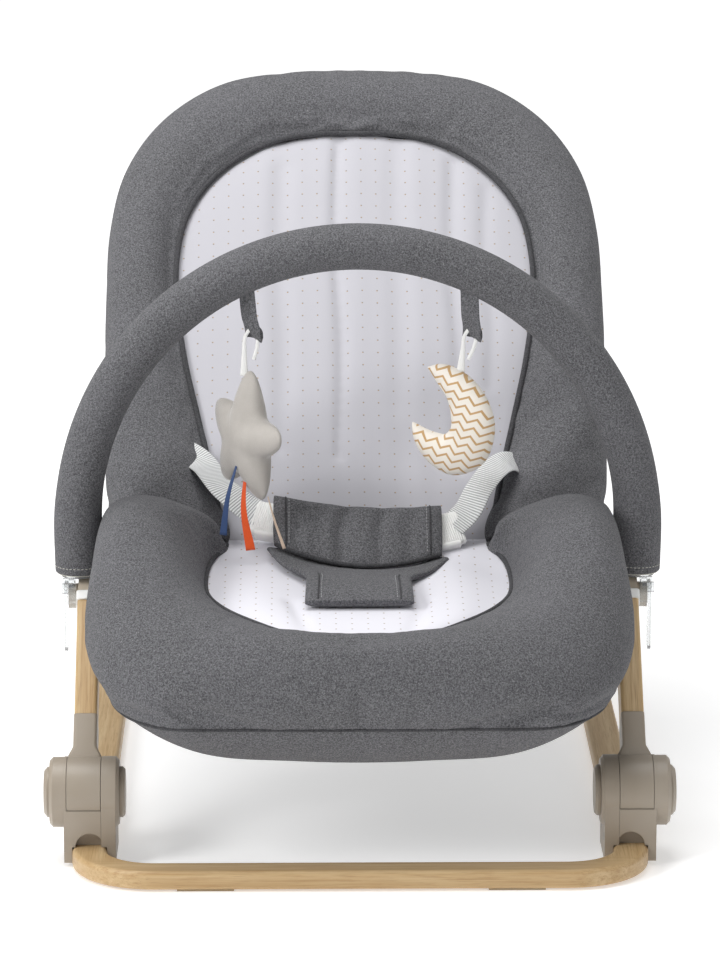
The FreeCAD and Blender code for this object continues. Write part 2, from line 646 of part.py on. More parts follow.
SEAT_TUBE_Z = f"({PIVOT_Z} - seat_tube_drop)"
seat_tube = new_body("seat_tube_rod", y=f"{PIVOT_Y} - seat_tube_start", z=SEAT_TUBE_Z)
front = "seat_tube_start - seat_tube_front"
pipe(seat_tube, "XY_Plane", [
    ("-tube_x", "0"), ("-tube_x", front, "seat_tube_bend"),
    ("tube_x", front, "seat_tube_bend"), ("tube_x", "0"),
], "XZ_Plane", radius="tube_radius")

rivets = []
joint_rooms = []
for word, side in SIDES:
    rivet_y, rivet_z = back_point("back_rivet_at", "-back_tube_drop")
    rivets.append(side_cylinder(f"{word}_back_rivet", side, "rivet_radius", "joint_inner", "joint_outer",
                                rivet_y, rivet_z))
    rivets.append(side_cylinder(f"{word}_seat_rivet", side, "rivet_radius", "joint_inner", "joint_outer",
                                f"{PIVOT_Y} - seat_rivet_at", SEAT_TUBE_Z))
    joint_rooms.append(side_box(f"{word}_joint_room", side, "(joint_inner - 1)",
                                "(joint_outer + joint_room_gap)",
                                f"({PIVOT_Y} - joint_front - joint_room_gap)",
                                f"({PIVOT_Y} + joint_rear + joint_room_gap)",
                                f"({PIVOT_Z} - joint_low - joint_room_gap)",
                                f"({PIVOT_Z} + joint_top + joint_room_gap)"))
    joint = new_body(f"{word}_joint", span(side, "joint_inner", "joint_outer"), PIVOT_Y, PIVOT_Z)
    add_pad(joint, "YZ_Plane", [
        ("-joint_front", "-joint_low", "joint_edge"), ("joint_heel", "-joint_low", "joint_round"),
        ("joint_rear", "joint_tip", "joint_edge"), ("joint_crest", "joint_top", "joint_edge"),
        ("-joint_step_depth", "joint_top", "joint_round"),
        ("-joint_step_depth", "-joint_shelf", "joint_edge"),
        ("-joint_front", "-joint_shelf", "joint_edge"),
    ], "joint_outer - joint_inner")
    bore = side_cylinder(f"{word}_joint_bore", side, "axle_radius + running_gap", "(joint_inner - 2)",
                         "(joint_outer + 1)", PIVOT_Y, PIVOT_Z)
    keep(cut(f"{word}_joint_bored", joint, bore, back_tube, seat_tube, *rivets[-2:]),
         f"{word}_seat_joint")
keep(group("rivet_set", *rivets), "frame_rivets")
keep(cut("back_tube_riveted", back_tube, rivets[0], rivets[2]), "back_tube")
keep(cut("seat_tube_riveted", seat_tube, rivets[1], rivets[3]), "seat_tube")

# ---- padding ----


def mirrored(corners):
    """Add the other half of an outline that is symmetric about its Y axis."""
    return corners + [(f"-({corner[0]})", *corner[1:]) for corner in reversed(corners)]


back_pad = new_body("back_pad_block", **back_frame)
add_pad(back_pad, "XY_Plane", mirrored([
    ("hip_half_width", "pad_bottom"), ("hip_half_width", "pad_waist"),
    ("pad_half_width", "pad_shoulder"), ("pad_half_width", "pad_top", "pad_corner"),
]), "pad_front + pad_rear", offset="-pad_rear")
add_pocket(back_pad, "XY_Plane", mirrored([
    ("liner_hip", "liner_bottom"), ("liner_half_width", "pad_shoulder"),
    ("liner_half_width", "liner_top", "liner_corner"),
]), "pad_front + liner_floor", "pad_front")
keep(cut("back_pad_cut", back_pad, *joint_rooms, back_tube), "back_pad")

back_liner = new_body("back_liner_block", **back_frame)
add_pad(back_liner, "XY_Plane", mirrored([
    ("liner_hip - liner_gap", "liner_bottom + liner_gap"),
    ("liner_half_width - liner_gap", "pad_shoulder"),
    ("liner_half_width - liner_gap", "liner_top - liner_gap", "liner_corner"),
]), "liner_thickness", offset="-liner_floor")
keep(back_liner, "back_liner")

seat_pad = new_body("seat_pad_block", z="seat_bottom")
add_pad(seat_pad, "XY_Plane", mirrored([
    ("hip_half_width", "seat_rear"), ("hip_half_width", "seat_front", "seat_corner"),
]), "seat_top - seat_bottom")
add_pocket(seat_pad, "XY_Plane", mirrored([
    ("seat_liner_half_width", "seat_rear - 3"),
    ("seat_liner_half_width", "seat_liner_front", "seat_liner_corner"),
]), "seat_liner_thickness", "seat_top - seat_bottom")
keep(cut("seat_pad_cut", seat_pad, *joint_rooms, seat_tube), "seat_pad")

seat_liner = new_body("seat_liner_block", z="seat_top - seat_liner_thickness")
add_pad(seat_liner, "XY_Plane", mirrored([
    ("seat_liner_half_width - liner_gap", "seat_rear - 3 - liner_gap"),
    ("seat_liner_half_width - liner_gap", "seat_liner_front + liner_gap", "seat_liner_corner"),
]), "seat_liner_thickness")
keep(seat_liner, "seat_liner")

WING_REAR = f"({PIVOT_Y} - {PIVOT_Z} - pad_front * 1.5)"
for (word, side), joint_room in zip(SIDES, joint_rooms):
    wing = new_body(f"{word}_wing", span(side, "wing_inner", "wing_outer"))
    add_pad(wing, "YZ_Plane", [
        (f"{WING_REAR} + seat_top", "seat_top"), (f"{WING_REAR} + wing_top", "wing_top", "12"),
        ("wing_front", "wing_top", "40"), ("wing_toe", "seat_top"),
    ], "wing_outer - wing_inner")
    keep(cut(f"{word}_wing_cut", wing, joint_room), f"{word}_wing_pad")

skirt = new_body("skirt_hull")
levels = []
for level, (half_width, front_y, rear_y, corner, height) in enumerate((
        ("skirt_half_width", "skirt_front", "skirt_rear", "skirt_corner", "seat_bottom"),
        ("skirt_low_half_width", "skirt_low_front", "skirt_low_rear", "skirt_low_corner", "skirt_bottom"))):
    sketch = new_sketch(skirt, "XY_Plane", f"skirt_level{level}", height)
    outline(sketch, mirrored([(half_width, rear_y, "skirt_rear_corner"), (half_width, front_y, corner)]))
    levels.append(sketch)
loft = skirt.newObject("PartDesign::AdditiveLoft", "skirt_loft")
loft.Profile = levels[0]
loft.Sections = levels[1:]
keep(skirt, "seat_skirt")

# ---- harness ----

waist_pad = new_body("waist_pad_block", y="waist_y", z="waist_z", rotation=lean("back_lean"))
add_pad(waist_pad, "XY_Plane", mirrored([
    ("waist_half_width - 2", "-waist_length / 2", "8"), ("waist_half_width", "waist_length / 2", "8"),
]), "waist_thickness", middle=True)
keep(waist_pad, "waist_pad")

crotch_pad = new_body("crotch_pad_block", z="seat_top")
add_pad(crotch_pad, "XY_Plane", mirrored([
    ("crotch_half_width", "crotch_front", "12"), ("crotch_half_width - 4", "crotch_rear", "8"),
]), "crotch_thickness")
keep(crotch_pad, "crotch_pad")


def strap_place(side, distance, width, thickness):
    """Corner place of a flat piece that lies along one waist strap, from its clasp end."""
    clasp = Vector(side * number("clasp_x"), number("clasp_y"), number("clasp_z"))
    slot = Vector(side * number("slot_x"), number("slot_y"), number("slot_z"))
    run = (slot - clasp).normalize()
    across = run.cross(Vector(0, -1, 1)).normalize()
    off = across.cross(run) * -1
    rotation = Rotation(run, across, off, "XYZ")
    corner = clasp + run * distance - across * (width / 2) - rotation.multVec(Vector(0, 0, thickness / 2))
    return Placement(corner, rotation), (slot - clasp).Length


for word, side in SIDES:
    strap = doc.addObject("Part::Box", f"{word}_strap")
    spot, run_length = strap_place(side, number("buckle_length / 2"), number("strap_width"),
                                   number("strap_thickness"))
    bind(strap, Length=f"{run_length} - buckle_length / 2", Width="strap_width", Height="strap_thickness")
    strap.Placement = spot
    keep(strap, f"{word}_waist_strap")
    buckle = doc.addObject("Part::Box", f"{word}_clasp")
    spot, run_length = strap_place(side, -number("buckle_length / 2"), number("buckle_width"),
                                   number("buckle_thickness"))
    bind(buckle, Length="buckle_length", Width="buckle_width", Height="buckle_thickness")
    buckle.Placement = spot
    keep(buckle, f"{word}_buckle")

tag = box("tag", "tag_thickness", "tag_length", "tag_height", "tag_x", "tag_front", "tag_bottom")
keep(tag, "side_tag")

# ---- toy bar ----


def arch_rod(name, radius):
    body = new_body(name, y=PIVOT_Y, z="arch_foot")
    rise = "arch_top - arch_foot"
    pipe(body, "XZ_Plane", [
        ("-arch_x", "0"), ("-arch_x", rise, "arch_x - 0.1"),
        ("arch_x", rise, "arch_x - 0.1"), ("arch_x", "0"),
    ], "XY_Plane", radius=radius)
    return body


core = arch_rod("core", "core_radius")
foam = arch_rod("foam", "foam_radius")
sleeve = arch_rod("sleeve", "sleeve_radius")
plugs = [cylinder(f"{word}_plug", "Z", "plug_radius", "plug_height", f"{side} * arch_x", PIVOT_Y,
                  "arch_foot - 1") for word, side in SIDES]
keep(cut("core_bored", core, *plugs), "toy_bar_core")
keep(cut("foam_hollow", foam, core), "toy_bar_foam")
keep(cut("sleeve_hollow", sleeve, foam), "toy_bar_sleeve")

LEVER_Z = f"({PIVOT_Z} + lever_pin_rise)"


def end_clip(word, side, plug):
    """A clear clip: a jaw on the post's boss, a flange and plug into the bar, ears for a lever."""
    jaw = side_cylinder(f"{word}_jaw", side, "clip_radius", "clip_inner", "clip_outer", PIVOT_Y, PIVOT_Z)
    arm = side_box(f"{word}_clip_arm", side, "clip_inner", "clip_outer", f"({PIVOT_Y} - clip_arm_half)",
                   f"({PIVOT_Y} + clip_arm_half)", PIVOT_Z, "arch_foot")
    flange = cylinder(f"{word}_flange", "Z", "flange_radius", "flange_height", f"{side} * arch_x", PIVOT_Y,
                      "arch_foot - flange_height")
    ears = []
    for end in (-1, 1):
        near = f"({PIVOT_Y} + {end} * (lever_width / 2 + ear_gap))"
        far = f"({PIVOT_Y} + {end} * (lever_width / 2 + ear_gap + ear_thickness))"
        low, high = (far, near) if end < 0 else (near, far)
        ears.append(side_box(f"{word}_ear_{end + 1}", side, "clip_inner + 2", "ear_outer", low, high,
                             f"({LEVER_Z} - ear_half_height)", f"({LEVER_Z} + ear_half_height)"))
    bore = side_cylinder(f"{word}_jaw_bore", side, "boss_radius + running_gap", "(clip_inner - 1)",
                         "(clip_outer + 1)", PIVOT_Y, PIVOT_Z)
    boss_room = side_cylinder(f"{word}_boss_room", side, "boss_radius + cradle_gap", "(clip_outer - 0.01)",
                              "ear_outer + 1", PIVOT_Y, PIVOT_Z)
    mouth = side_box(f"{word}_jaw_mouth", side, "(clip_inner - 1)", "(clip_outer + 1)",
                     f"({PIVOT_Y} - clip_slot / 2)", f"({PIVOT_Y} + clip_slot / 2)",
                     f"({PIVOT_Z} - clip_radius - 1)", PIVOT_Z)
    lever_x = f"{side} * (lever_inner + lever_thickness / 2)"
    pin_length = "(lever_width + (ear_thickness + ear_gap) * 2)"
    pin_room = cylinder(f"{word}_lever_pin_room", "Y", "lever_pin_radius + running_gap",
                        f"{pin_length} + 2", lever_x, f"{PIVOT_Y} - {pin_length} / 2 - 1", LEVER_Z)
    blank = fuse(f"{word}_clip_blank", jaw, arm, flange, plug, *ears)
    keep(cut(f"{word}_clip", blank, bore, boss_room, mouth, pin_room), f"{word}_end_clip")

    plate = side_box(f"{word}_lever_plate", side, "lever_inner", "(lever_inner + lever_thickness)",
                     f"({PIVOT_Y} - lever_width / 2)", f"({PIVOT_Y} + lever_width / 2)",
                     f"({LEVER_Z} - lever_drop)", f"({LEVER_Z} + lever_rise)")
    pin = cylinder(f"{word}_lever_pin", "Y", "lever_pin_radius", pin_length, lever_x,
                   f"{PIVOT_Y} - {pin_length} / 2", LEVER_Z)
    keep(fuse(f"{word}_lever", plate, pin), f"{word}_clip_lever")


for (word, side), plug in zip(SIDES, plugs):
    end_clip(word, side, plug)

loops = []
for word, side in SIDES:
    tape = new_body(f"{word}_loop", f"{side} * loop_x", PIVOT_Y, "loop_bottom")
    add_pad(tape, "YZ_Plane", [
        ("-loop_gap / 2 - loop_tape", "loop_top - loop_bottom"),
        ("-loop_gap / 2 - loop_tape", "0", "loop_gap / 2 + loop_tape - 0.1"),
        ("loop_gap / 2 + loop_tape", "0", "loop_gap / 2 + loop_tape - 0.1"),
        ("loop_gap / 2 + loop_tape", "loop_top - loop_bottom"),
    ], "loop_half_width * 2", middle=True)
    eye = new_body(f"{word}_loop_eye", f"{side} * loop_x", PIVOT_Y, "loop_bottom + loop_tape")
    add_pad(eye, "YZ_Plane", [
        ("-loop_gap / 2", "loop_top"), ("-loop_gap / 2", "0", "loop_gap / 2 - 0.1"),
        ("loop_gap / 2", "0", "loop_gap / 2 - 0.1"), ("loop_gap / 2", "loop_top"),
    ], "loop_half_width * 2 + 2", middle=True)
    loops.append(cut(f"{word}_loop_cut", tape, eye, sleeve))
keep(group("loop_pair", *loops), "toy_loops")

# ---- toys ----


def toy_ring(name, side):
    """A flat rounded ring; its top bar is round and lies in the loop."""
    outer = new_body(f"{name}_outer", f"{side} * loop_x", PIVOT_Y)
    add_pad(outer, "XZ_Plane", mirrored([
        ("ring_half", "ring_bottom", "ring_corner"), ("ring_half", "ring_top", "ring_corner"),
    ]), "ring_bar", middle=True)
    inner = new_body(f"{name}_inner", f"{side} * loop_x", PIVOT_Y)
    add_pad(inner, "XZ_Plane", mirrored([
        ("ring_half - ring_bar", "ring_bottom + ring_bar", "1"),
        ("ring_half - ring_bar", "ring_top - ring_bar", "1"),
    ]), "ring_bar + 2", middle=True)
    bar = cylinder(f"{name}_bar", "X", "ring_bar_radius", "ring_half * 2 - ring_bar",
                   f"{side} * loop_x - ring_half + ring_bar / 2", PIVOT_Y, "ring_top - ring_bar / 2")
    keep(fuse(f"{name}_round", cut(f"{name}_cut", outer, inner), bar), name)


toy_ring("star_ring", -1)
toy_ring("moon_ring", 1)

star = new_body("star_block", "-loop_x", PIVOT_Y, "star_z", Rotation(Vector(0, 0, 1), number("star_turn")))
star_corners = []
for point in range(5):
    tip_angle = 90 + 72 * point
    valley_angle = tip_angle + 36
    star_corners.append((f"star_radius * cos({tip_angle})", f"star_radius * sin({tip_angle})", "star_tip"))
    star_corners.append((f"star_valley * cos({valley_angle})", f"star_valley * sin({valley_angle})"))
add_pad(star, "XZ_Plane", star_corners, "star_thickness", middle=True)
keep(star, "star_body")

ribbons = []
for index in (-1, 0, 1):
    ribbons.append(box(f"ribbon_{index + 1}", "ribbon_width", "ribbon_thickness",
                       "ribbon_top - ribbon_bottom",
                       f"-ribbon_x + {index} * ribbon_spacing - ribbon_width / 2",
                       f"{PIVOT_Y} - ribbon_offset", "ribbon_bottom"))
keep(cut("ribbon_set", group("ribbon_blanks", *ribbons), star), "star_ribbons")

disc = cylinder("moon_disc", "Y", "moon_radius", "moon_thickness", "moon_x",
                f"{PIVOT_Y} - moon_thickness / 2", "moon_z")
bite = cylinder("moon_bite", "Y", "moon_bite_radius", "moon_thickness + 2", "moon_bite_x",
                f"{PIVOT_Y} - moon_thickness / 2 - 1", "moon_bite_z")
keep(cut("moon_crescent", disc, bite), "moon_body")

# ---- check and write ----

doc.recompute()
for item in doc.Objects:
    if "Invalid" in item.State or "Error" in item.State:
        raise RuntimeError(f"{item.Name} failed: {item.State}")
os.makedirs("parts", exist_ok=True)
for item in parts:
    shape = item.Shape
    if shape.isNull() or not shape.isValid() or not shape.Solids:
        raise RuntimeError(f"{item.Label} has no valid solid")
    shape.exportStep(f"parts/{item.Label}.step")
print(f"{len(parts)} parts written")
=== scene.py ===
import json
import math

import bpy
import numpy as np
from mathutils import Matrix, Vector


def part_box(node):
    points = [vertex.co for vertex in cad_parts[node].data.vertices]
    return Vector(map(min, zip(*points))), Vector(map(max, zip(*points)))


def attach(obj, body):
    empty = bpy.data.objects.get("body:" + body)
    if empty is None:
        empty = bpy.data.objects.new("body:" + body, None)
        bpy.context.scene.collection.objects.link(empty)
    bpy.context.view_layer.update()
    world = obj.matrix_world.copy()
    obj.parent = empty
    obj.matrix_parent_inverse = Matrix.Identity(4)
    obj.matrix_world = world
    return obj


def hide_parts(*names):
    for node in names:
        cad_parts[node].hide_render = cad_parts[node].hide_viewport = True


# A baby bouncer seat: wood and plastic parts keep their CAD shapes, soft parts are sewn here.
# Sizes in this script are millimetres until a piece is made; MM turns them into metres.

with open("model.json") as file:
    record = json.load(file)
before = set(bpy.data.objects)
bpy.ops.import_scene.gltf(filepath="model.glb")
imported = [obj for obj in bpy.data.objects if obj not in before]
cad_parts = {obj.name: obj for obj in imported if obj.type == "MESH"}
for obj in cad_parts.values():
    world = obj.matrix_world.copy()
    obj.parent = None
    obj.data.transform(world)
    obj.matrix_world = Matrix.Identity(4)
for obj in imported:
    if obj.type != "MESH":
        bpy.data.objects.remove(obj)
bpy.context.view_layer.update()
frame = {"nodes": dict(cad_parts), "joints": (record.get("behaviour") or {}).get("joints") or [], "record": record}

MM = 0.001
JOINTS = {joint["name"]: joint for joint in frame["joints"]}
PIVOT = np.array(JOINTS["seat_recline"]["pos_m"]) / MM
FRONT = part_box("base_front_bar")[0].y / MM
LEAN = math.radians(45)
SIDES = (("left", -1), ("right", 1))
scene = bpy.context.scene


# ---- curves and surfaces ----

def spline(values, knots, where):
    """A smooth line (or a whole grid of them) through values at knots, read at where."""
    values = np.asarray(values, float)
    knots = np.asarray(knots, float)
    step = np.diff(knots).reshape(-1, *[1] * (values.ndim - 1))
    slope = np.diff(values, axis=0) / step
    tangent = np.empty_like(values)
    tangent[0], tangent[-1] = slope[0], slope[-1]
    tangent[1:-1] = (slope[:-1] * step[1:] + slope[1:] * step[:-1]) / (step[1:] + step[:-1])
    cell = np.clip(np.searchsorted(knots, where, side="right") - 1, 0, len(knots) - 2)
    width = step[cell]
    t = (np.asarray(where) - knots[cell]).reshape(width.shape) / width
    return ((2 * t**3 - 3 * t**2 + 1) * values[cell] + (t**3 - 2 * t**2 + t) * width * tangent[cell]
            + (3 * t**2 - 2 * t**3) * values[cell + 1] + (t**3 - t**2) * width * tangent[cell + 1])


def chords(points):
    """Distance along a list of points, averaged over the lists if there are several."""
    lengths = np.linalg.norm(np.diff(np.asarray(points, float), axis=0), axis=-1)
    lengths = lengths.reshape(len(lengths), -1).mean(1)
    return np.concatenate([[0], np.cumsum(np.maximum(lengths, 1e-6))])


def line(points, count):
    """A smooth line of count points through a few."""
    knots = chords(points)
    return spline(points, knots, np.linspace(0, knots[-1], count))


def net(rows, across, along):
    """A smooth surface through rows of points: (rows, points, 3) becomes (along, across, 3)."""
    rows = np.asarray(rows, float)
    turned = np.swapaxes(rows, 0, 1)
    knots = chords(turned)
    fine = np.swapaxes(spline(turned, knots, np.linspace(0, knots[-1], across)), 0, 1)
    return line(fine, along)


def mirrored(rows):
    """Rows for the right half, from the middle outwards, with the left half added before them."""
    rows = np.asarray(rows, float)
    return np.concatenate([(rows * [-1, 1, 1])[:0:-1], rows])


def from_depth(points):
    """Points given as x, depth behind the ring's front and height, as x, y and z."""
    points = np.array(points, float)
    points[..., 1] += FRONT
    return points


def on_back(x, along, off):
    """A point x from the middle, along the back from the pivot, and off its face."""
    x, along, off = np.broadcast_arrays(*[np.asarray(v, float) for v in (x, along, off)])
    return np.stack([x, PIVOT[1] + along * math.cos(LEAN) - off * math.sin(LEAN),
                     PIVOT[2] + along * math.sin(LEAN) + off * math.cos(LEAN)], -1)


def wave(where, length, seed):
    """An uneven ripple between -1 and 1 with about that wavelength."""
    total = 0
    for part, (share, stretch) in enumerate(((0.5, 1.0), (0.3, 0.57), (0.2, 1.73))):
        total = total + share * np.sin(2 * math.pi * np.asarray(where) / (length * stretch)
                                       + seed * 2.1 + part * 1.3)
    return total


# ---- meshes ----

def mesh_piece(name, points, faces, material, flat=None, smooth=True):
    mesh = bpy.data.meshes.new(name)
    mesh.from_pydata((np.asarray(points) * MM).tolist(), [], faces)
    mesh.polygons.foreach_set("use_smooth", [smooth] * len(mesh.polygons))
    if flat is not None:
        layer = mesh.uv_layers.new(name="flat")
        loops = np.empty(len(mesh.loops), int)
        mesh.loops.foreach_get("vertex_index", loops)
        layer.data.foreach_set("uv", (np.asarray(flat)[loops] * MM).ravel())
    mesh.materials.append(material)
    piece = bpy.data.objects.new(name, mesh)
    scene.collection.objects.link(piece)
    return piece


def grid_faces(rows, columns, close_rows=False, close_columns=False, flip=False):
    faces = []
    for i in range(rows if close_rows else rows - 1):
        for j in range(columns if close_columns else columns - 1):
            corners = [(i, j), (i + 1, j), (i + 1, j + 1), (i, j + 1)]
            face = [(a % rows) * columns + b % columns for a, b in corners]
            faces.append(face[::-1] if flip else face)
    return faces


def sewn(name, grid, material, flat=None, flip=False, **closed):
    """A piece from a grid of points. Its flat coordinates are lengths of cloth both ways."""
    rows, columns = grid.shape[:2]
    if flat is None:
        along = chords(grid)
        over = chords(np.swapaxes(grid, 0, 1))
        flat = np.stack(np.meshgrid(along, over, indexing="ij"), -1)
    return mesh_piece(name, grid.reshape(-1, 3), grid_faces(rows, columns, flip=flip, **closed), material,
                      flat.reshape(-1, 2))


def stuffed(name, grid, material, draw=0.03):
    """A closed piece from rings of points along a path, its two ends drawn together."""
    ends = [ring.mean(0) + (ring - ring.mean(0)) * draw for ring in (grid[0], grid[-1])]
    return sewn(name, np.concatenate([ends[:1], grid, ends[1:]]), material, close_columns=True, flip=True)


def frames(path):
    """Unit directions along a path and two square to it, carried without twist."""
    path = np.asarray(path, float)
    ahead = np.gradient(path, axis=0)
    ahead /= np.linalg.norm(ahead, axis=1, keepdims=True)
    start = np.eye(3)[np.argmin(np.abs(ahead[0]))]
    side = np.cross(ahead[0], start)
    sides = []
    for direction in ahead:
        side = side - direction * side.dot(direction)
        side = side / np.linalg.norm(side)
        sides.append(side)
    sides = np.array(sides)
    return ahead, sides, np.cross(ahead, sides)


def tube_grid(path, radius, sides=12):
    """Rings of points round a path; radius is one number or one for each point."""
    _, side, up = frames(path)
    angle = np.linspace(0, 2 * math.pi, sides, endpoint=False)
    reach = np.broadcast_to(radius, (len(path),))[:, None, None]
    return (np.asarray(path)[:, None] + reach * (np.cos(angle)[None, :, None] * side[:, None]
                                                 + np.sin(angle)[None, :, None] * up[:, None]))


def tube(name, path, radius, material, sides=12):
    """A round bar with domed ends."""
    path = np.asarray(path, float)
    radius = np.broadcast_to(radius, (len(path),)).astype(float).copy()
    first, last = path[0] - path[1], path[-1] - path[-2]
    first, last = first / np.linalg.norm(first), last / np.linalg.norm(last)
    path = np.concatenate([[path[0] + first * radius[0]], [path[0] + first * radius[0] * 0.7], path,
                           [path[-1] + last * radius[-1] * 0.7], [path[-1] + last * radius[-1]]])
    radius = np.concatenate([[radius[0] * 0.05, radius[0] * 0.7], radius, [radius[-1] * 0.7, radius[-1] * 0.05]])
    return stuffed(name, tube_grid(path, radius, sides), material)


def strip_grid(path, over, width, thickness, sides=12, square=True):
    """A flat band along a path; over points across it (made square to it), with rounded edges."""
    path, over = np.asarray(path, float), np.asarray(over, float)
    ahead = np.gradient(path, axis=0)
    ahead /= np.linalg.norm(ahead, axis=1, keepdims=True)
    if square:
        over = over - ahead * (over * ahead).sum(1, keepdims=True)
    over /= np.linalg.norm(over, axis=1, keepdims=True)
    up = np.cross(ahead, over)
    angle = np.linspace(0, 2 * math.pi, sides, endpoint=False)
    reach = np.sign(np.cos(angle)) * np.abs(np.cos(angle)) ** 0.4
    rise = np.sign(np.sin(angle)) * np.abs(np.sin(angle)) ** 0.6
    width = np.broadcast_to(width, (len(path),))[:, None, None]
    thickness = np.broadcast_to(thickness, (len(path),))[:, None, None]
    return (path[:, None] + over[:, None] * reach[None, :, None] * width / 2
            + up[:, None] * rise[None, :, None] * thickness / 2)


def strip(name, path, over, width, thickness, material, sides=12):
    return stuffed(name, strip_grid(path, over, width, thickness, sides), material)


def stitches(name, path, pitch, length, radius, material):
    """A row of short threads lying along a path."""
    knots = chords(path)
    starts = np.arange(pitch / 2, knots[-1] - length, pitch)
    points, faces = [], []
    for start in starts:
        short = spline(path, knots, np.linspace(start, start + length, 4))
        grid = tube_grid(short, radius * np.array([0.3, 1, 1, 0.3]), 6)
        first = len(points)
        points.extend(grid.reshape(-1, 3).tolist())
        faces.extend([[first + corner for corner in face] for face in grid_faces(4, 6, close_columns=True, flip=True)])
    return mesh_piece(name, points, faces, material)


# ---- cloth ----

swelling = []


def swell(piece, seams, pressure=4.0, grow=0.02, cap=8.0):
    """Mark a piece to be blown up between its seams, given as the indices of held points."""
    swelling.append((piece, [int(i) for i in seams], pressure, grow, cap * MM))


def rim_points(grid):
    """Indices of a grid's edge points, with one more row held along the piping."""
    index = np.arange(grid.shape[0] * grid.shape[1]).reshape(grid.shape[:2])
    return np.concatenate([index[:, 0], index[:, 1], index[:, -1], index[0], index[-1]])


def blow_up():
    """Run every marked piece's cloth at once, and keep its shape."""
    rest = {}
    for piece, seams, pressure, grow, _ in swelling:
        held = piece.vertex_groups.new(name="seams")
        held.add(seams, 1.0, "REPLACE")
        cloth = piece.modifiers.new("cloth", "CLOTH")
        cloth.settings.vertex_group_mass = "seams"
        cloth.settings.quality = 6
        cloth.settings.mass = 0.15
        cloth.settings.tension_stiffness = 12
        cloth.settings.compression_stiffness = 12
        cloth.settings.shear_stiffness = 6
        cloth.settings.bending_stiffness = 0.6
        cloth.settings.use_pressure = True
        cloth.settings.uniform_pressure_force = pressure
        cloth.settings.shrink_min = -grow
        cloth.settings.effector_weights.gravity = 0
        cloth.collision_settings.use_collision = False
        cloth.point_cache.frame_start = 1
        cloth.point_cache.frame_end = 20
        rest[piece.name] = positions(piece)
    for step in range(1, 21):
        scene.frame_set(step)
    graph = bpy.context.evaluated_depsgraph_get()
    shapes = {piece.name: positions(piece.evaluated_get(graph)) for piece, *_ in swelling}
    for piece, _, _, _, cap in swelling:
        piece.modifiers.remove(piece.modifiers["cloth"])
        piece.vertex_groups.clear()
        move = shapes[piece.name] - rest[piece.name]
        reach = np.linalg.norm(move, axis=1, keepdims=True)
        move *= cap * np.tanh(reach / cap) / np.maximum(reach, 1e-9)
        set_positions(piece, rest[piece.name] + move)
    scene.frame_set(1)


def positions(piece):
    points = np.empty(len(piece.data.vertices) * 3)
    piece.data.vertices.foreach_get("co", points)
    return points.reshape(-1, 3)


def set_positions(piece, points):
    piece.data.vertices.foreach_set("co", np.asarray(points).ravel())
    piece.data.update()


def normals(piece):
    out = np.empty(len(piece.data.vertices) * 3)
    piece.data.vertices.foreach_get("normal", out)
    return out.reshape(-1, 3)


def press(piece, amount):
    """Move each point out along its normal by an amount in millimetres."""
    set_positions(piece, positions(piece) + normals(piece) * (np.asarray(amount) * MM)[:, None])


def near(points, path, width):
    """How close points are to a path, 1 on it and fading out over a width, in millimetres."""
    fine = line(path, 60)
    gap = np.min(np.linalg.norm(points[:, None] / MM - fine[None], axis=2), axis=1)
    return np.exp(-(gap / width) ** 2)


def crease(piece, path, width, depth):
    """A soft fold pressed into a piece along a path, deepest in its middle."""
    press(piece, -depth * near(positions(piece), path, width))


def finish_soft(piece, body, nodes, subdivide=1):
    if subdivide:
        smooth = piece.modifiers.new("smooth", "SUBSURF")
        smooth.levels = smooth.render_levels = subdivide
    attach(piece, body)
    if nodes:
        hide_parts(*nodes)
    return piece


# ---- materials ----

class Shader:
    """A material's nodes, added one at a time. Constants go on the main shader's own sockets."""

    def __init__(self, name, **constants):
        self.material = bpy.data.materials.new(name)
        self.material.use_nodes = True
        self.nodes = self.material.node_tree.nodes
        self.main = self.nodes["Principled BSDF"]
        for socket, value in constants.items():
            self.main.inputs[socket.replace("_", " ")].default_value = value

    def add(self, kind, inputs=None, **settings):
        node = self.nodes.new(kind)
        for name, value in settings.items():
            setattr(node, name, value)
        for name, value in (inputs or {}).items():
            if isinstance(value, bpy.types.NodeSocket):
                self.material.node_tree.links.new(value, node.inputs[name])
            else:
                node.inputs[name].default_value = value
        return node

    def coordinates(self, kind, scale=(1, 1, 1), rotation=(0, 0, 0)):
        """Coordinates turned back by a rotation, then stretched by a scale."""
        source = self.add("ShaderNodeTexCoord").outputs[kind]
        inputs = {"Vector": source, "Scale": [1 / part for part in scale], "Rotation": rotation}
        return self.add("ShaderNodeMapping", inputs, vector_type="TEXTURE").outputs[0]

    def noise(self, vector, scale, detail=2.0, rough=0.5):
        return self.add("ShaderNodeTexNoise", {"Vector": vector, "Scale": scale, "Detail": detail,
                                               "Roughness": rough}).outputs["Fac"]

    def sums(self, operation, first, second=0.0, third=0.0):
        return self.add("ShaderNodeMath", {0: first, 1: second, 2: third}, operation=operation).outputs[0]

    def spread(self, value, low, high, to_low=0.0, to_high=1.0):
        return self.add("ShaderNodeMapRange", {0: value, 1: low, 2: high, 3: to_low, 4: to_high}).outputs[0]

    def mix(self, factor, first, second, blend="MIX"):
        node = self.add("ShaderNodeMix", {0: factor, 6: first, 7: second}, data_type="RGBA", blend_type=blend)
        return node.outputs[2]

    def bump(self, height, distance, strength=1.0, normal=None):
        inputs = {"Height": height, "Distance": distance, "Strength": strength}
        if normal is not None:
            inputs["Normal"] = normal
        return self.add("ShaderNodeBump", inputs).outputs[0]

    def connect(self, **sockets):
        for name, value in sockets.items():
            self.material.node_tree.links.new(value, self.main.inputs[name.replace("_", " ")])
        return self.material


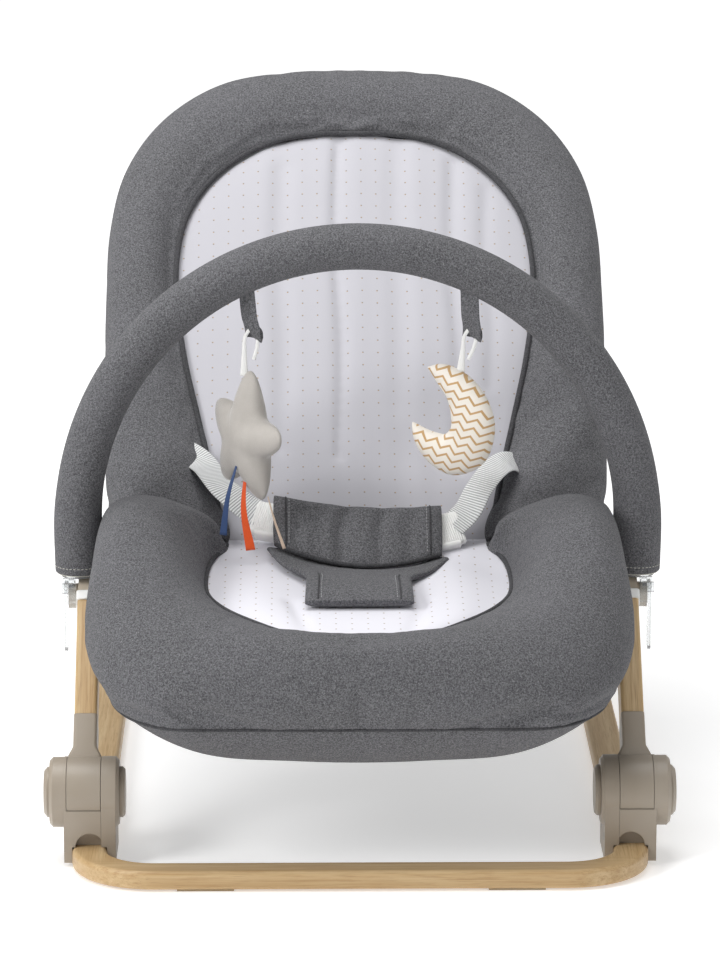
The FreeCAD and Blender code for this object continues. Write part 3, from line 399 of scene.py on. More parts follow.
def rgb(red, green, blue):
    """A screen colour, 0 to 255, as linear light."""
    def linear(value):
        value /= 255
        return value / 12.92 if value < 0.04045 else ((value + 0.055) / 1.055) ** 2.4
    return (linear(red), linear(green), linear(blue), 1.0)


def melange(name, dark, light, fleck, roughness=0.95):
    """Brushed wool-like cloth: uneven yarn colours, pale flecks and a soft nap."""
    shader = Shader(name, Roughness=roughness, Sheen_Weight=0.08, Sheen_Roughness=0.5, Specular_IOR_Level=0.15)
    where = shader.coordinates("Object")
    yarn = shader.noise(where, 760, 3, 0.75)
    tone = shader.mix(shader.spread(yarn, 0.38, 0.62), dark, light)
    flecks = shader.noise(where, 1250, 2, 0.6)
    tone = shader.mix(shader.spread(flecks, 0.60, 0.72, 0, 0.6), tone, fleck)
    cloud = shader.noise(where, 16, 3)
    tone = shader.mix(shader.spread(cloud, 0.3, 0.7, 0.0, 0.10), tone, rgb(132, 131, 138))
    height = shader.sums("ADD", yarn, flecks)
    return shader.connect(Base_Color=tone, Normal=shader.bump(height, 0.0007, 0.8))


def dotted_cotton(name, white):
    """White quilted cotton printed with a grid of small tan and grey dots."""
    pitch, dot = 0.0125, 0.00062
    shader = Shader(name, Roughness=0.85, Sheen_Weight=0.15, Specular_IOR_Level=0.25)
    cloth = shader.coordinates("UV")
    split = shader.add("ShaderNodeSeparateXYZ", {0: cloth})
    gaps = []
    for axis in (0, 1):
        cell = shader.sums("FRACT", shader.sums("DIVIDE", split.outputs[axis], pitch))
        gaps.append(shader.sums("POWER", shader.sums("SUBTRACT", cell, 0.5), 2))
    gap = shader.sums("SQRT", shader.sums("ADD", *gaps))
    inked = shader.spread(gap, dot / pitch * 0.8, dot / pitch * 1.5, 1, 0)
    columns = shader.sums("FRACT", shader.sums("DIVIDE", shader.sums("FLOOR", shader.sums(
        "DIVIDE", shader.sums("ADD", split.outputs[0], split.outputs[1]), pitch)), 2))
    ink = shader.mix(shader.spread(columns, 0.2, 0.3), rgb(176, 146, 104), rgb(132, 132, 134))
    tone = shader.mix(inked, white, ink)
    where = shader.coordinates("UV", scale=(900, 900, 900))
    threads = shader.add("ShaderNodeTexVoronoi", {"Vector": where, "Scale": 1.0}).outputs["Distance"]
    return shader.connect(Base_Color=tone, Normal=shader.bump(threads, 0.0002, 0.25))


def wood(name, along):
    """Oiled oak with straight streaks. The ring's grain turns from across to along at its corners."""
    shader = Shader(name, Roughness=0.45, Coat_Weight=0.1, Coat_Roughness=0.3)
    tones, heights = [], []
    for stretch, turn in along:
        where = shader.coordinates("Object", scale=stretch, rotation=turn)
        bands = shader.noise(where, 3.0, 3, 0.6)
        streaks = shader.noise(where, 9.0, 4, 0.7)
        pores = shader.noise(where, 30, 2, 0.6)
        tone = shader.mix(shader.spread(bands, 0.35, 0.65), rgb(204, 177, 134), rgb(186, 154, 108))
        tone = shader.mix(shader.spread(streaks, 0.48, 0.66, 0, 0.7), tone, rgb(168, 131, 82))
        tone = shader.mix(shader.spread(pores, 0.58, 0.72, 0, 0.5), tone, rgb(140, 104, 62))
        tones.append(tone)
        heights.append(pores)
    tone, height = tones[0], heights[0]
    if len(tones) == 2:
        split = shader.add("ShaderNodeSeparateXYZ", {0: shader.coordinates("Object")})
        ends = shader.spread(shader.sums("ABSOLUTE", split.outputs[1]), 0.282, 0.306)
        tone = shader.mix(ends, tones[1], tones[0])
    soft = shader.add("ShaderNodeBevel", {"Radius": 0.0012}, samples=4).outputs[0]
    return shader.connect(Base_Color=tone, Normal=shader.bump(height, 0.0001, 0.3, soft))


def plastic(name, colour, roughness=0.42, grain=0.15, edge=0.8, **constants):
    """Moulded plastic: fine spark-eroded grain, slight colour drift and softened edges."""
    shader = Shader(name, Roughness=roughness, **constants)
    where = shader.coordinates("Object")
    drift = shader.noise(where, 18, 2)
    tone = shader.mix(shader.spread(drift, 0.3, 0.7, 0, 0.08), colour, (0.9, 0.88, 0.85, 1))
    soft = shader.add("ShaderNodeBevel", {"Radius": edge * MM}, samples=4).outputs[0]
    return shader.connect(Base_Color=tone, Normal=shader.bump(shader.noise(where, 2600, 2), 0.0001, grain, soft))


def clear_plastic():
    shader = Shader("clear_plastic", Roughness=0.08, Transmission_Weight=0.85, IOR=1.46,
                    Base_Color=(0.93, 0.95, 0.96, 1))
    where = shader.coordinates("Object")
    soft = shader.add("ShaderNodeBevel", {"Radius": 0.0008}, samples=4).outputs[0]
    haze = shader.noise(where, 120, 2)
    return shader.connect(Roughness=shader.spread(haze, 0.3, 0.7, 0.05, 0.16),
                          Normal=shader.bump(haze, 0.0003, 0.2, soft))


def metal(name, colour, roughness):
    shader = Shader(name, Metallic=1.0, Base_Color=colour)
    where = shader.coordinates("Object", scale=(40, 400, 400))
    brush = shader.noise(where, 6, 3)
    soft = shader.add("ShaderNodeBevel", {"Radius": 0.0003}, samples=4).outputs[0]
    return shader.connect(Roughness=shader.spread(brush, 0.2, 0.8, roughness * 0.8, roughness * 1.3),
                          Normal=shader.bump(brush, 0.00005, 0.3, soft))


def ribbed_webbing():
    """Woven harness webbing with fine ribs across it."""
    pitch = 0.0022
    shader = Shader("webbing", Roughness=0.7, Sheen_Weight=0.2, Specular_IOR_Level=0.35)
    split = shader.add("ShaderNodeSeparateXYZ", {0: shader.coordinates("UV")})
    rib = shader.sums("SINE", shader.sums("MULTIPLY", split.outputs[0], 2 * math.pi / pitch))
    yarn = shader.sums("SINE", shader.sums("MULTIPLY", split.outputs[1], 2 * math.pi / 0.0009))
    height = shader.sums("MULTIPLY_ADD", yarn, 0.2, rib)
    # The valleys between the ribs are painted darker as shade; the rib tops keep the pale webbing colour.
    tone = shader.mix(shader.spread(rib, -0.9, 0.3), rgb(160, 162, 162), rgb(232, 233, 233))
    return shader.connect(Base_Color=tone, Normal=shader.bump(height, 0.00035, 0.7))


def velour():
    shader = Shader("star_velour", Roughness=0.9, Sheen_Weight=0.6, Sheen_Roughness=0.35, Specular_IOR_Level=0.2)
    where = shader.coordinates("Object")
    pile = shader.noise(where, 1600, 2, 0.6)
    brushed = shader.noise(where, 60, 3)
    tone = shader.mix(shader.spread(brushed, 0.3, 0.7), rgb(180, 175, 169), rgb(192, 187, 181))
    tone = shader.mix(shader.spread(pile, 0.35, 0.65, 0, 0.2), tone, rgb(158, 153, 147))
    return shader.connect(Base_Color=tone, Normal=shader.bump(pile, 0.0004, 0.5))


def chevrons():
    """Cream cotton printed with tan zigzag lines."""
    period, spacing, rise = 0.0125, 0.0072, 0.0048
    shader = Shader("moon_cotton", Roughness=0.85, Sheen_Weight=0.2, Specular_IOR_Level=0.25)
    split = shader.add("ShaderNodeSeparateXYZ", {0: shader.coordinates("UV")})
    cell = shader.sums("FRACT", shader.sums("DIVIDE", split.outputs[0], period))
    zig = shader.sums("MULTIPLY", shader.sums("ABSOLUTE", shader.sums("SUBTRACT", cell, 0.5)), 2 * rise)
    level = shader.sums("FRACT", shader.sums("DIVIDE", shader.sums("ADD", split.outputs[1], zig), spacing))
    line_mask = shader.spread(shader.sums("ABSOLUTE", shader.sums("SUBTRACT", level, 0.5)), 0.12, 0.16, 1, 0)
    tone = shader.mix(line_mask, rgb(238, 231, 221), rgb(196, 160, 112))
    where = shader.coordinates("UV", scale=(1400, 1400, 1400))
    threads = shader.add("ShaderNodeTexVoronoi", {"Vector": where, "Scale": 1.0}).outputs["Distance"]
    return shader.connect(Base_Color=tone, Normal=shader.bump(threads, 0.0002, 0.35))


def woven(name, colour, scale=1100, sheen=0.2):
    """A plain cloth or thread of one colour, with its weave and a little shade between yarns."""
    shader = Shader(name, Roughness=0.8, Sheen_Weight=sheen, Specular_IOR_Level=0.3)
    where = shader.coordinates("Object")
    yarn = shader.noise(where, scale, 2, 0.6)
    tone = shader.mix(shader.spread(yarn, 0.35, 0.65, 0, 0.3), colour, tuple(c * 0.6 for c in colour[:3]) + (1,))
    return shader.connect(Base_Color=tone, Normal=shader.bump(yarn, 0.0003, 0.5))


GREY = melange("grey_wool", rgb(66, 66, 68), rgb(116, 116, 119), rgb(176, 176, 178))
PIPING = melange("piping_wool", rgb(46, 46, 48), rgb(78, 78, 80), rgb(112, 112, 114))
# One dotted cotton in two copies: the back liner's darker base is painted shade and the seat liner's brighter base is
# painted light.
BACK_COTTON_PAINTED_SHADE = dotted_cotton("back_cotton_painted_shade", rgb(186, 185, 191))
SEAT_COTTON_PAINTED_LIGHT = dotted_cotton("seat_cotton_painted_light", rgb(224, 223, 230))
RING_WOOD = wood("ring_oak", [((1.6, 60, 60), (0, 0, 0)), ((60, 1.6, 60), (0, 0, 0))])
LEG_WOOD = wood("leg_oak", [((60, 1.6, 60), (LEAN, 0, 0))])
TAUPE = plastic("taupe_plastic", rgb(152, 140, 124), 0.42)
BEIGE = plastic("beige_plastic", rgb(214, 200, 180), 0.4)
WHITE = plastic("white_plastic", rgb(236, 236, 234), 0.35)
INNER = plastic("inner_plastic", rgb(86, 86, 88), 0.55)
FOAM = woven("foam", rgb(214, 212, 200), 500)
RUBBER = plastic("rubber", rgb(172, 154, 124), 0.75)
STEEL = metal("steel", (0.55, 0.55, 0.56, 1), 0.3)
DARK_STEEL = metal("screw_steel", (0.12, 0.12, 0.12, 1), 0.35)
FRAME_PAINT = plastic("frame_paint", rgb(120, 120, 122), 0.4)
CLEAR = clear_plastic()
WEBBING = ribbed_webbing()
VELOUR = velour()
CHEVRONS = chevrons()
THREAD = woven("grey_thread", rgb(158, 158, 160), 2200)
PALE_THREAD = woven("pale_thread", rgb(190, 188, 180), 2200)

CAD_MATERIALS = {
    "wood": RING_WOOD, "taupe_plastic": TAUPE, "beige_plastic": BEIGE, "white_plastic": WHITE,
    "clear_plastic": CLEAR, "inner_plastic": INNER, "steel": STEEL, "painted_steel": FRAME_PAINT,
    "rubber": RUBBER, "foam": FOAM, "core_plastic": WHITE,
}
for part in frame["record"]["subparts"]:
    material = CAD_MATERIALS.get(part["material_slot"])
    if part["node"].endswith("leg_bar"):
        material = LEG_WOOD
    if part["node"].endswith("screws"):
        material = DARK_STEEL
    if material:
        for spot in frame["nodes"][part["node"]].material_slots:
            spot.material = material


# ---- the back ----

def corner(middle_x, middle_s, reach_x, reach_s, angles):
    """Points of an elliptical corner, as x and distance along the back."""
    angles = np.radians(angles)
    return np.stack([middle_x + reach_x * np.cos(angles), middle_s + reach_s * np.sin(angles)], -1)


CORNER_ANGLES = (22, 45, 68)
BACK_INNER = np.concatenate([
    [(108, 46), (116, 100), (130, 168), (142, 228), (149.5, 290), (149.5, 328)],
    corner(22.5, 328, 127, 132, CORNER_ANGLES), [(22.5, 460), (0, 460)]])
BACK_OUTER = np.concatenate([
    [(201, 36), (203, 100), (203, 175), (203, 245), (203, 310), (203, 368)],
    corner(62, 368, 141, 163, CORNER_ANGLES), [(62, 531), (0, 534)]])
BORDER_SECTION = (  # share of the way from piping to edge, and height off the back
    (0.0, -5), (0.06, 3), (0.22, 13), (0.48, 18), (0.74, 13), (0.93, 0), (1.0, -17), (1.0, -34), (0.90, -48))


def back_border():
    rows = []
    for inner, outer in zip(BACK_INNER, BACK_OUTER):
        rows.append([on_back(*(inner + (outer - inner) * share), off) for share, off in BORDER_SECTION])
    rows = np.array(rows)
    middle = rows[0].mean(0)
    end = middle + (rows[0] - middle) * 0.1 + (rows[0].mean(0) - rows[1].mean(0)) * 0.25
    rows = np.concatenate([[end], rows])
    around = mirrored(rows[::-1])
    grid = net(around, 40, 260)
    piece = sewn("back_border", grid, GREY)
    swell(piece, rim_points(grid), 3.0, 0.03, 7)
    return piece, grid


def back_panel(name, inner, count, off, material, flip=False):
    """Cloth that spans the back between the two halves of an outline, in rows across it."""
    sides = line(np.insert(inner, 2, 0, axis=1), count[0])[:, :2]
    share = np.linspace(-1, 1, count[1])
    x = sides[:, :1] * share
    along = np.repeat(sides[:, 1:], count[1], axis=1)
    grid = on_back(x, along, off(x, along, share[None]))
    return sewn(name, grid, material, flat=np.stack([x, along], -1), flip=flip), x.ravel()


def liner_height(x, along, share):
    """The liner is quilted: a low crown here; its soft channels up the back are creased in later."""
    crown = 7 * (1 - share**4) * (1 - np.clip((along - 400) / 60, 0, 1) ** 2)
    return -5 + crown


back_piece, border_grid = back_border()
liner, liner_x = back_panel("back_liner_cloth", BACK_INNER[:-1], (130, 90), liner_height, BACK_COTTON_PAINTED_SHADE,
                                     flip=True)
rear, _ = back_panel(
    "back_rear_cover", np.array([BACK_INNER[k] + (BACK_OUTER[k] - BACK_INNER[k]) * 0.88 for k in
                                 range(len(BACK_INNER) - 1)]), (90, 70),
    lambda x, along, share: -48 - 5 * (1 - share**6) * (1 - np.clip((along - 430) / 85, 0, 1) ** 3), GREY)


# ---- the seat ----

SEAT_ROWS = from_depth([
    [(0, 57, 190), (0, 48, 198), (0, 33, 201), (0, 16, 192), (0, 5, 172), (0, 3, 150), (0, 10, 126)],
    [(48, 63, 190), (50, 53, 198), (54, 37, 202), (60, 19, 193), (64, 7, 173), (68, 4, 150), (72, 11, 126)],
    [(80, 85, 191), (88, 74, 201), (104, 56, 207), (124, 36, 199), (142, 20, 178), (153, 13, 153),
     (157, 17, 127)],
    [(104, 115, 193), (114, 104, 206), (134, 88, 217), (160, 70, 214), (184, 55, 193), (196, 48, 162),
     (189, 58, 131)],
    [(118, 145, 196), (127, 133, 216), (147, 120, 233), (176, 108, 234), (201, 100, 212), (211, 98, 176),
     (196, 100, 139)],
    [(122, 185, 201), (130, 176, 228), (150, 165, 250), (180, 158, 260), (202, 152, 240), (207, 150, 200),
     (198, 158, 150)],
    [(118, 215, 209), (124, 212, 236), (145, 208, 255), (175, 204, 264), (199, 200, 254), (206, 200, 215),
     (198, 208, 158)],
    [(106, 238, 217), (116, 240, 236), (142, 244, 248), (172, 246, 254), (197, 246, 243), (204, 244, 210),
     (197, 246, 162)],
])
SEAT_END = SEAT_ROWS[-1].mean(0) + (SEAT_ROWS[-1] - SEAT_ROWS[-1].mean(0)) * 0.1 + [0, 16, 0]


def seat_border():
    rows = mirrored(np.concatenate([SEAT_ROWS, [SEAT_END]]))
    grid = net(rows, 44, 240)
    piece = sewn("seat_border", grid, GREY, flip=True)
    swell(piece, rim_points(grid), 3.0, 0.03, 6)
    return piece, grid


def seat_liner_cloth():
    """The seat's liner, in rows across it from the front to the hips."""
    half = np.concatenate([SEAT_ROWS[:, 0], from_depth([(104, 264, 218)])])
    sides = line(half, 90)
    share = np.linspace(-1, 1, 80)
    x = sides[:, :1] * share
    depth = np.repeat(sides[:, 1:2], 80, axis=1)
    lobes = np.exp(-((np.abs(x) - 80) / 26) ** 2) * (1 - share[None] ** 8)
    rise = np.sin(np.linspace(0, math.pi, 90))[:, None]
    z = sides[:, 2:3] - 1 + rise * (3 * (1 - share[None] ** 4) + 5 * lobes)
    grid = np.stack([x, depth, z], -1)
    return sewn("seat_liner_cloth", grid, SEAT_COTTON_PAINTED_LIGHT, flat=np.stack([x, depth], -1), flip=True)


def underside(grid):
    """The cloth under the seat, from the seam in to a nearly level floor."""
    seam = grid[8:-8, -1]
    back_edge = on_back([190, 120, 0, -120, -190], [40, 54, 56, 54, 40], [-40, -50, -51, -50, -40])
    rim = line(np.concatenate([seam, back_edge, seam[:1]]), 240)[:-1]
    centre = np.array([0, FRONT + 150, 85])
    away = rim - centre
    frontness = np.clip(-away[:, 1] / np.linalg.norm(away[:, :2], axis=1), 0, 1) ** 2
    power = 3.3 + 3.7 * frontness
    rings = []
    for share in (1 - np.linspace(0, 1, 34) ** 1.3) * 0.985 + 0.015:
        ring = centre + away * share
        ring[:, 2] = centre[2] + (rim[:, 2] - centre[2]) * share**power
        rings.append(ring)
    return sewn("seat_underside", np.array(rings), GREY, close_columns=True, flip=True)


seat_piece, seat_grid = seat_border()
seat_liner_piece = seat_liner_cloth()
seat_floor = underside(seat_grid)

# ---- toy bar ----

ARCH_X, ARCH_FOOT, ARCH_TOP = 224.5, 201.5, 465
ARCH_SPRING = ARCH_TOP - ARCH_X


def arch(count):
    """The toy bar's middle line: up from one clip, over a half circle and down to the other."""
    rise = ARCH_SPRING - ARCH_FOOT
    total = 2 * rise + math.pi * ARCH_X
    points = []
    for far in np.linspace(0, total, count):
        if far < rise:
            points.append((-ARCH_X, PIVOT[1], ARCH_FOOT + far))
        elif far > total - rise:
            points.append((ARCH_X, PIVOT[1], ARCH_FOOT + total - far))
        else:
            turn = math.pi - (far - rise) / ARCH_X
            points.append((ARCH_X * math.cos(turn), PIVOT[1], ARCH_SPRING + ARCH_X * math.sin(turn)))
    return np.array(points), total


def toy_bar():
    """The padded sleeve. Each end is stitched and closes flat on the clip."""
    path, total = arch(200)
    from_end = np.minimum(np.linspace(0, total, 200), np.linspace(total, 0, 200))
    radius = 18.5 + 1.0 * np.exp(-((from_end - 34) / 28) ** 2)
    end = np.array([(0.2, 10.5), (0.1, 15.5), (0.5, 17.6), (0.9, 18.3)])
    reach = np.cumsum(end[:, 0])
    below = np.array([[ARCH_X, PIVOT[1], ARCH_FOOT - reach[-1] + far] for far in reach])
    path = np.concatenate([below * [-1, 1, 1], path, below[::-1]])
    radius = np.concatenate([end[:, 1], radius, end[::-1, 1]])
    return stuffed("toy_bar_cover", tube_grid(path, radius, 40), GREY)


bar = toy_bar()
finish_soft(bar, "toy_bar", ["toy_bar_sleeve"])
for word, side in SIDES:
    angle = np.linspace(0, 2 * math.pi, 40)
    seam = np.stack([side * ARCH_X + 18.8 * np.cos(angle), PIVOT[1] + 18.8 * np.sin(angle),
                     np.full(40, ARCH_FOOT + 5)], -1)
    thread = stitches(f"{word}_bar_stitches", seam, 3.2, 2.2, 0.35, PALE_THREAD)
    finish_soft(thread, "toy_bar", [], subdivide=0)


def toy_loop(word, side, sway, width, twist):
    """A folded tape sewn under the toy bar. It hangs a little askew, sway to the right."""
    x = side * LOOP_X
    low, high = LOOP_LOW + 1, LOOP_LOW + 40
    path = line([(x, -3.2, high), (x + sway * 0.5, -3.6, low + 14), (x + sway, -2.6, low + 2.5),
                 (x + sway, 0, low), (x + sway * 0.9, 2.6, low + 2.5), (x + sway * 0.4, 3.6, low + 14),
                 (x, 3.2, high)], 60) + [0, PIVOT[1], 0]
    turn = math.radians(twist)
    over = np.tile([math.cos(turn), math.sin(turn), -0.45], (60, 1))
    return strip(f"{word}_toy_loop", path, over, width, 1.5, GREY)


LOOP_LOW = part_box("toy_loops")[0].z / MM
LOOP_X = JOINTS["moon_swing"]["pos_m"][0] / MM
loops = [toy_loop("left", -1, 6, 15, -32), toy_loop("right", 1, 3, 16, -30)]
finish_soft(loops[0], "toy_bar", ["toy_loops"], subdivide=0)
finish_soft(loops[1], "toy_bar", [], subdivide=0)


# ---- toys ----

def toy_link(name, side, strand):
    """A flat moulded hook: its long strand carries the toy, its short end is open."""
    x = side * LOOP_X
    path = line([(x + across, PIVOT[1] - 1, LINK_Z + up) for across, up in strand], 60)
    ahead = np.gradient(path, axis=0)
    width = 3.0 + 3.6 * np.clip(1 - np.linspace(0, 1, 60) / 0.42, 0, 1) ** 1.4
    return strip(name, path, np.cross(ahead, [0, 1, 0]), width, 2.6, WHITE)


def star():
    """A stuffed five-pointed star, front and back sewn together at its edge."""
    middle = np.array([-LOOP_X, PIVOT[1], STAR_Z])
    turns, steps = 160, 16
    angle = np.linspace(0, 2 * math.pi, turns, endpoint=False)
    point = (0.5 + 0.5 * np.cos(5 * (angle - STAR_ROLL - math.pi / 2))) ** 1.25
    tall = np.exp(-((angle - math.pi / 2) / 0.35) ** 2)
    reach = 30 + (21 + 7 * tall) * point
    share = np.clip(np.sin(np.linspace(0, math.pi, 2 * steps + 1)), 0.004, 1)
    face = np.sign(np.linspace(1, -1, 2 * steps + 1))
    plump = 16 * np.sqrt(np.clip(1 - share**2, 0, 1)) * face
    plump = plump * (1 - 0.45 * point[:, None] * share**2)
    x = reach[:, None] * np.cos(angle)[:, None] * share
    z = reach[:, None] * np.sin(angle)[:, None] * share
    turn = math.radians(STAR_TURN)
    grid = np.stack([x * math.cos(turn) + plump * math.sin(turn), x * math.sin(turn) - plump * math.cos(turn), z],
                    -1)
    piece = sewn("star_toy", grid + middle, VELOUR, close_rows=True, flip=True)
    index = np.arange(turns * (2 * steps + 1)).reshape(turns, -1)
    swell(piece, index[:, steps], 2.0, 0.0, 1)
    return piece


MOON_OUTER = [(56, 366), (65, 369), (83, 364), (97, 352), (105, 338), (109, 321), (107, 305), (101, 291),
              (91, 283), (76, 279), (64, 283.5), (52.5, 294), (46, 306), (44, 320)]
MOON_INNER = [(56, 366), (65, 352), (71, 343), (74.5, 330), (74.5, 318), (70, 312.5), (62, 313), (44, 320)]


def moon():
    """A stuffed crescent: oval sections between the outer curve and the inner one, turned a little."""
    rows, sides = 90, 24
    edge, hollow = line(MOON_OUTER, rows), line(MOON_INNER, rows)
    centre, half = (edge + hollow) / 2, (edge - hollow) / 2
    width = np.linalg.norm(half, axis=1)
    thick = 12.5 * np.sqrt(np.clip(width / width.max(), 0.0, 1))
    turn = np.linspace(0, 2 * math.pi, sides, endpoint=False)
    flat = centre[:, None] + half[:, None] * np.cos(turn)[None, :, None]
    aside = np.radians(MOON_TURN)
    over = (flat[..., 0] - MOON_X) / math.cos(aside)
    out = thick[:, None] * np.sin(turn)
    grid = np.stack([MOON_X + over * math.cos(aside) - out * math.sin(aside),
                     PIVOT[1] - over * math.sin(aside) - out * math.cos(aside), flat[..., 1]], -1)
    cloth = flat @ np.array([[0.94, 0.34], [-0.34, 0.94]])
    piece = sewn("moon_toy", grid, CHEVRONS, flat=cloth, flip=True, close_columns=True)
    index = np.arange(rows * sides).reshape(rows, sides)
    swell(piece, np.concatenate([index[:, 0], index[:, sides // 2]]), 2.0, 0.0, 1)
    return piece


def ribbon(name, start, end, width, material, bow):
    """A tail of ribbon that hangs from the star."""
    start, end = np.array(start, float), np.array(end, float)
    path = line([start, (start + end) / 2 + [bow, -1.5, 3], end], 24)
    over = line([(0.4, -1, 0), (0.8, -0.6, 0), (1, -0.2, 0)], 24)
    return strip(name, path, over, np.linspace(width * 0.55, width, 24), 0.7, material)


STAR_Z, STAR_TURN, STAR_ROLL = 309, -58, -0.14
MOON_X, MOON_TURN = 77, 22
LINK_Z = 364
star_piece = star()
moon_piece = moon()
star_link = toy_link("star_link", -1, [(-2, -3), (-2, 14), (0, 31), (4, 35.5), (8.5, 31), (8.5, 22), (5.5, 10)])
moon_link = toy_link("moon_link", 1, [(-6.5, 0), (-5, 16), (-2.5, 31), (1.5, 35.5), (5.5, 31), (4, 20), (-0.5, 9.5)])
ribbons = [
    ribbon("blue_ribbon", (-97, PIVOT[1] - 10, 290), (-108, PIVOT[1] - 16, 234), 6,
           woven("blue_ribbon", rgb(58, 80, 122), 1800), -1.5),
    ribbon("orange_ribbon", (-90, PIVOT[1] - 12, 284), (-86, PIVOT[1] - 18, 222), 8,
           woven("orange_ribbon", rgb(236, 92, 38), 1800), -3.5),
    ribbon("pale_ribbon", (-72, PIVOT[1] - 27, 268), (-59, PIVOT[1] - 34, 227), 2.8,
           woven("pale_ribbon", rgb(206, 184, 164), 1800), -1.5),
]


# ---- harness ----

HARNESS_TILT = 4.5


def waist_pad():
    """The padded belt, bowed forward and down in the middle."""
    share = np.linspace(-1, 1, 110)
    bow = 1 - share**2
    path = np.stack([68 * share, -94 - 9 * bow, 236 - 8 * bow - HARNESS_TILT * share], -1)
    over = np.tile([0, math.cos(LEAN), math.sin(LEAN)], (110, 1))
    thick = 3.5 + 6.5 * np.clip(1 - np.abs(share) ** 14, 0, 1)
    grid = strip_grid(path, over, 46 + 10 * bow, thick, 40, square=False)
    return stuffed("waist_pad_cloth", grid, GREY), grid


def crotch_pad():
    """The pad between the legs: it widens into wings under the belt."""
    bends = from_depth([(0, 113, 200), (0, 126, 205), (0, 146, 207), (0, 168, 206), (0, 190, 203), (0, 214, 201)])
    knots = chords(bends)
    along = np.linspace(0, knots[-1], 70)
    width = 2 * spline([43, 42.5, 42, 43, 60, 74], knots, along)
    grid = strip_grid(spline(bends, knots, along), np.tile([1.0, 0, 0], (70, 1)), width, np.linspace(6.5, 8, 70), 36)
    toward_belt = (np.linspace(0, 1, 70) ** 1.5)[:, None]
    wing = grid[..., 0] / 72
    grid[..., 2] += (15 * wing**2 - HARNESS_TILT * wing) * toward_belt
    return stuffed("crotch_pad_cloth", grid, GREY), grid


def waist_strap(word, side, bends):
    """Webbing from the slot in the back down to the buckle."""
    path = line(bends, 60)
    ahead = np.gradient(path, axis=0)
    over = np.cross(ahead, line([(0.0, -0.7, 0.7), (side * -0.35, -0.75, 0.6), (side * -0.2, -0.8, 0.6)], 60))
    return strip(f"{word}_waist_webbing", path, over, 24.5, 1.5, WEBBING)


def buckle(word, side):
    """A ribbed plastic clasp at the belt's end, with a plain lip below."""
    share = np.linspace(0, 1, 121)
    path = np.stack([side * (57 + 26 * share), -91 + 9 * share, 232 + 3 * share - side * HARNESS_TILT], -1)
    over = np.tile([0.0, math.cos(LEAN), math.sin(LEAN)], (121, 1))
    ribs = 0.6 * np.sin(share * 2 * math.pi * 15) * (np.abs(share - 0.5) < 0.46)
    body = strip(f"{word}_ribbed_buckle", path, over, 30, 8.6 + ribs, WHITE, sides=20)
    lip = strip(f"{word}_buckle_lip", path[30:-2] + [0, -11, -11.5], over[30:-2], 5, 11, WHITE, sides=16)
    return body, lip


belt, belt_grid = waist_pad()
crotch, crotch_grid = crotch_pad()

# ---- swelling and folds ----

blow_up()

outer_count = border_grid.shape[1]
border_points = positions(back_piece)
columns = np.tile(np.arange(outer_count), border_grid.shape[0])
rows_along = np.repeat(np.arange(border_grid.shape[0]), outer_count)
pucker = np.exp(-columns / 2.5) + np.exp(-(outer_count - 1 - columns) / 3.0)
press(back_piece, 0.8 * wave(rows_along, 9, 1) * pucker * (columns > 0) * (columns < outer_count - 1))
for x in (-64, -24, -4, 14, 30, 58, 84):
    crease(back_piece, on_back(np.full(4, x) + [0, 3, -2, 2], [464, 485, 512, 530], [6, 20, 14, -2]), 5, 2.0)
for k, x in enumerate((-96, -66, -38, -8, 24, 52, 90)):
    front = 62 + abs(x) ** 2 / 400
    crease(seat_piece, from_depth([(x, front, 193), (x * 1.04, front - 14, 201), (x * 1.08, front - 30 - k % 3 * 5, 204)]),
           4, 2.0)
press(liner, 1.1 * wave(liner_x, 44, 3) * (1 - np.abs(liner_x) / 160))
for x, low, high, width, depth in ((-14, 130, 452, 4.5, 3.2), (84, 120, 430, 7, 3.4), (-62, 140, 420, 10, 2.2),
                                   (36, 180, 440, 12, 1.6), (112, 200, 400, 6, 1.8)):
    crease(liner, on_back([x, x + 3, x - 2, x + 1], np.linspace(low, high, 4), 0), width, depth)

for side in (-1, 1):
    crease(seat_liner_piece, from_depth([(side * 41, 62, 197), (side * 44, 88, 198), (side * 52, 130, 200)]), 7, 3.6)
crease(seat_piece, from_depth([(-78, 82, 197), (-94, 78, 204), (-110, 73, 207)]), 4, 2.6)

PIPE = 2.3
back_pipe = tube("back_piping", line(mirrored(on_back(BACK_INNER[::-1, 0], BACK_INNER[::-1, 1], -1.5)), 220),
                 PIPE, PIPING, 10)
seat_edge = line(mirrored(SEAT_ROWS[:, 0]) + [0, 0, 1], 200)
seat_edge[:, 2] -= 4 * np.exp(-(seat_edge[:, 0] / 75) ** 6) * (seat_edge[:, 1] < FRONT + 120)
seat_pipe = tube("seat_piping", seat_edge, PIPE, PIPING, 10)
seam_pipe = tube("seat_seam", line(seat_grid[10:-10:6, -1], 220), 1.3, PIPING, 8)

finish_soft(back_piece, "seat", ["back_pad"])
finish_soft(liner, "seat", ["back_liner"])
finish_soft(rear, "seat", [])
finish_soft(seat_piece, "seat", ["seat_pad", "left_wing_pad", "right_wing_pad"])
finish_soft(seat_liner_piece, "seat", ["seat_liner"])
finish_soft(seat_floor, "seat", ["seat_skirt"])
for piece in (back_pipe, seat_pipe, seam_pipe):
    finish_soft(piece, "seat", [], subdivide=0)

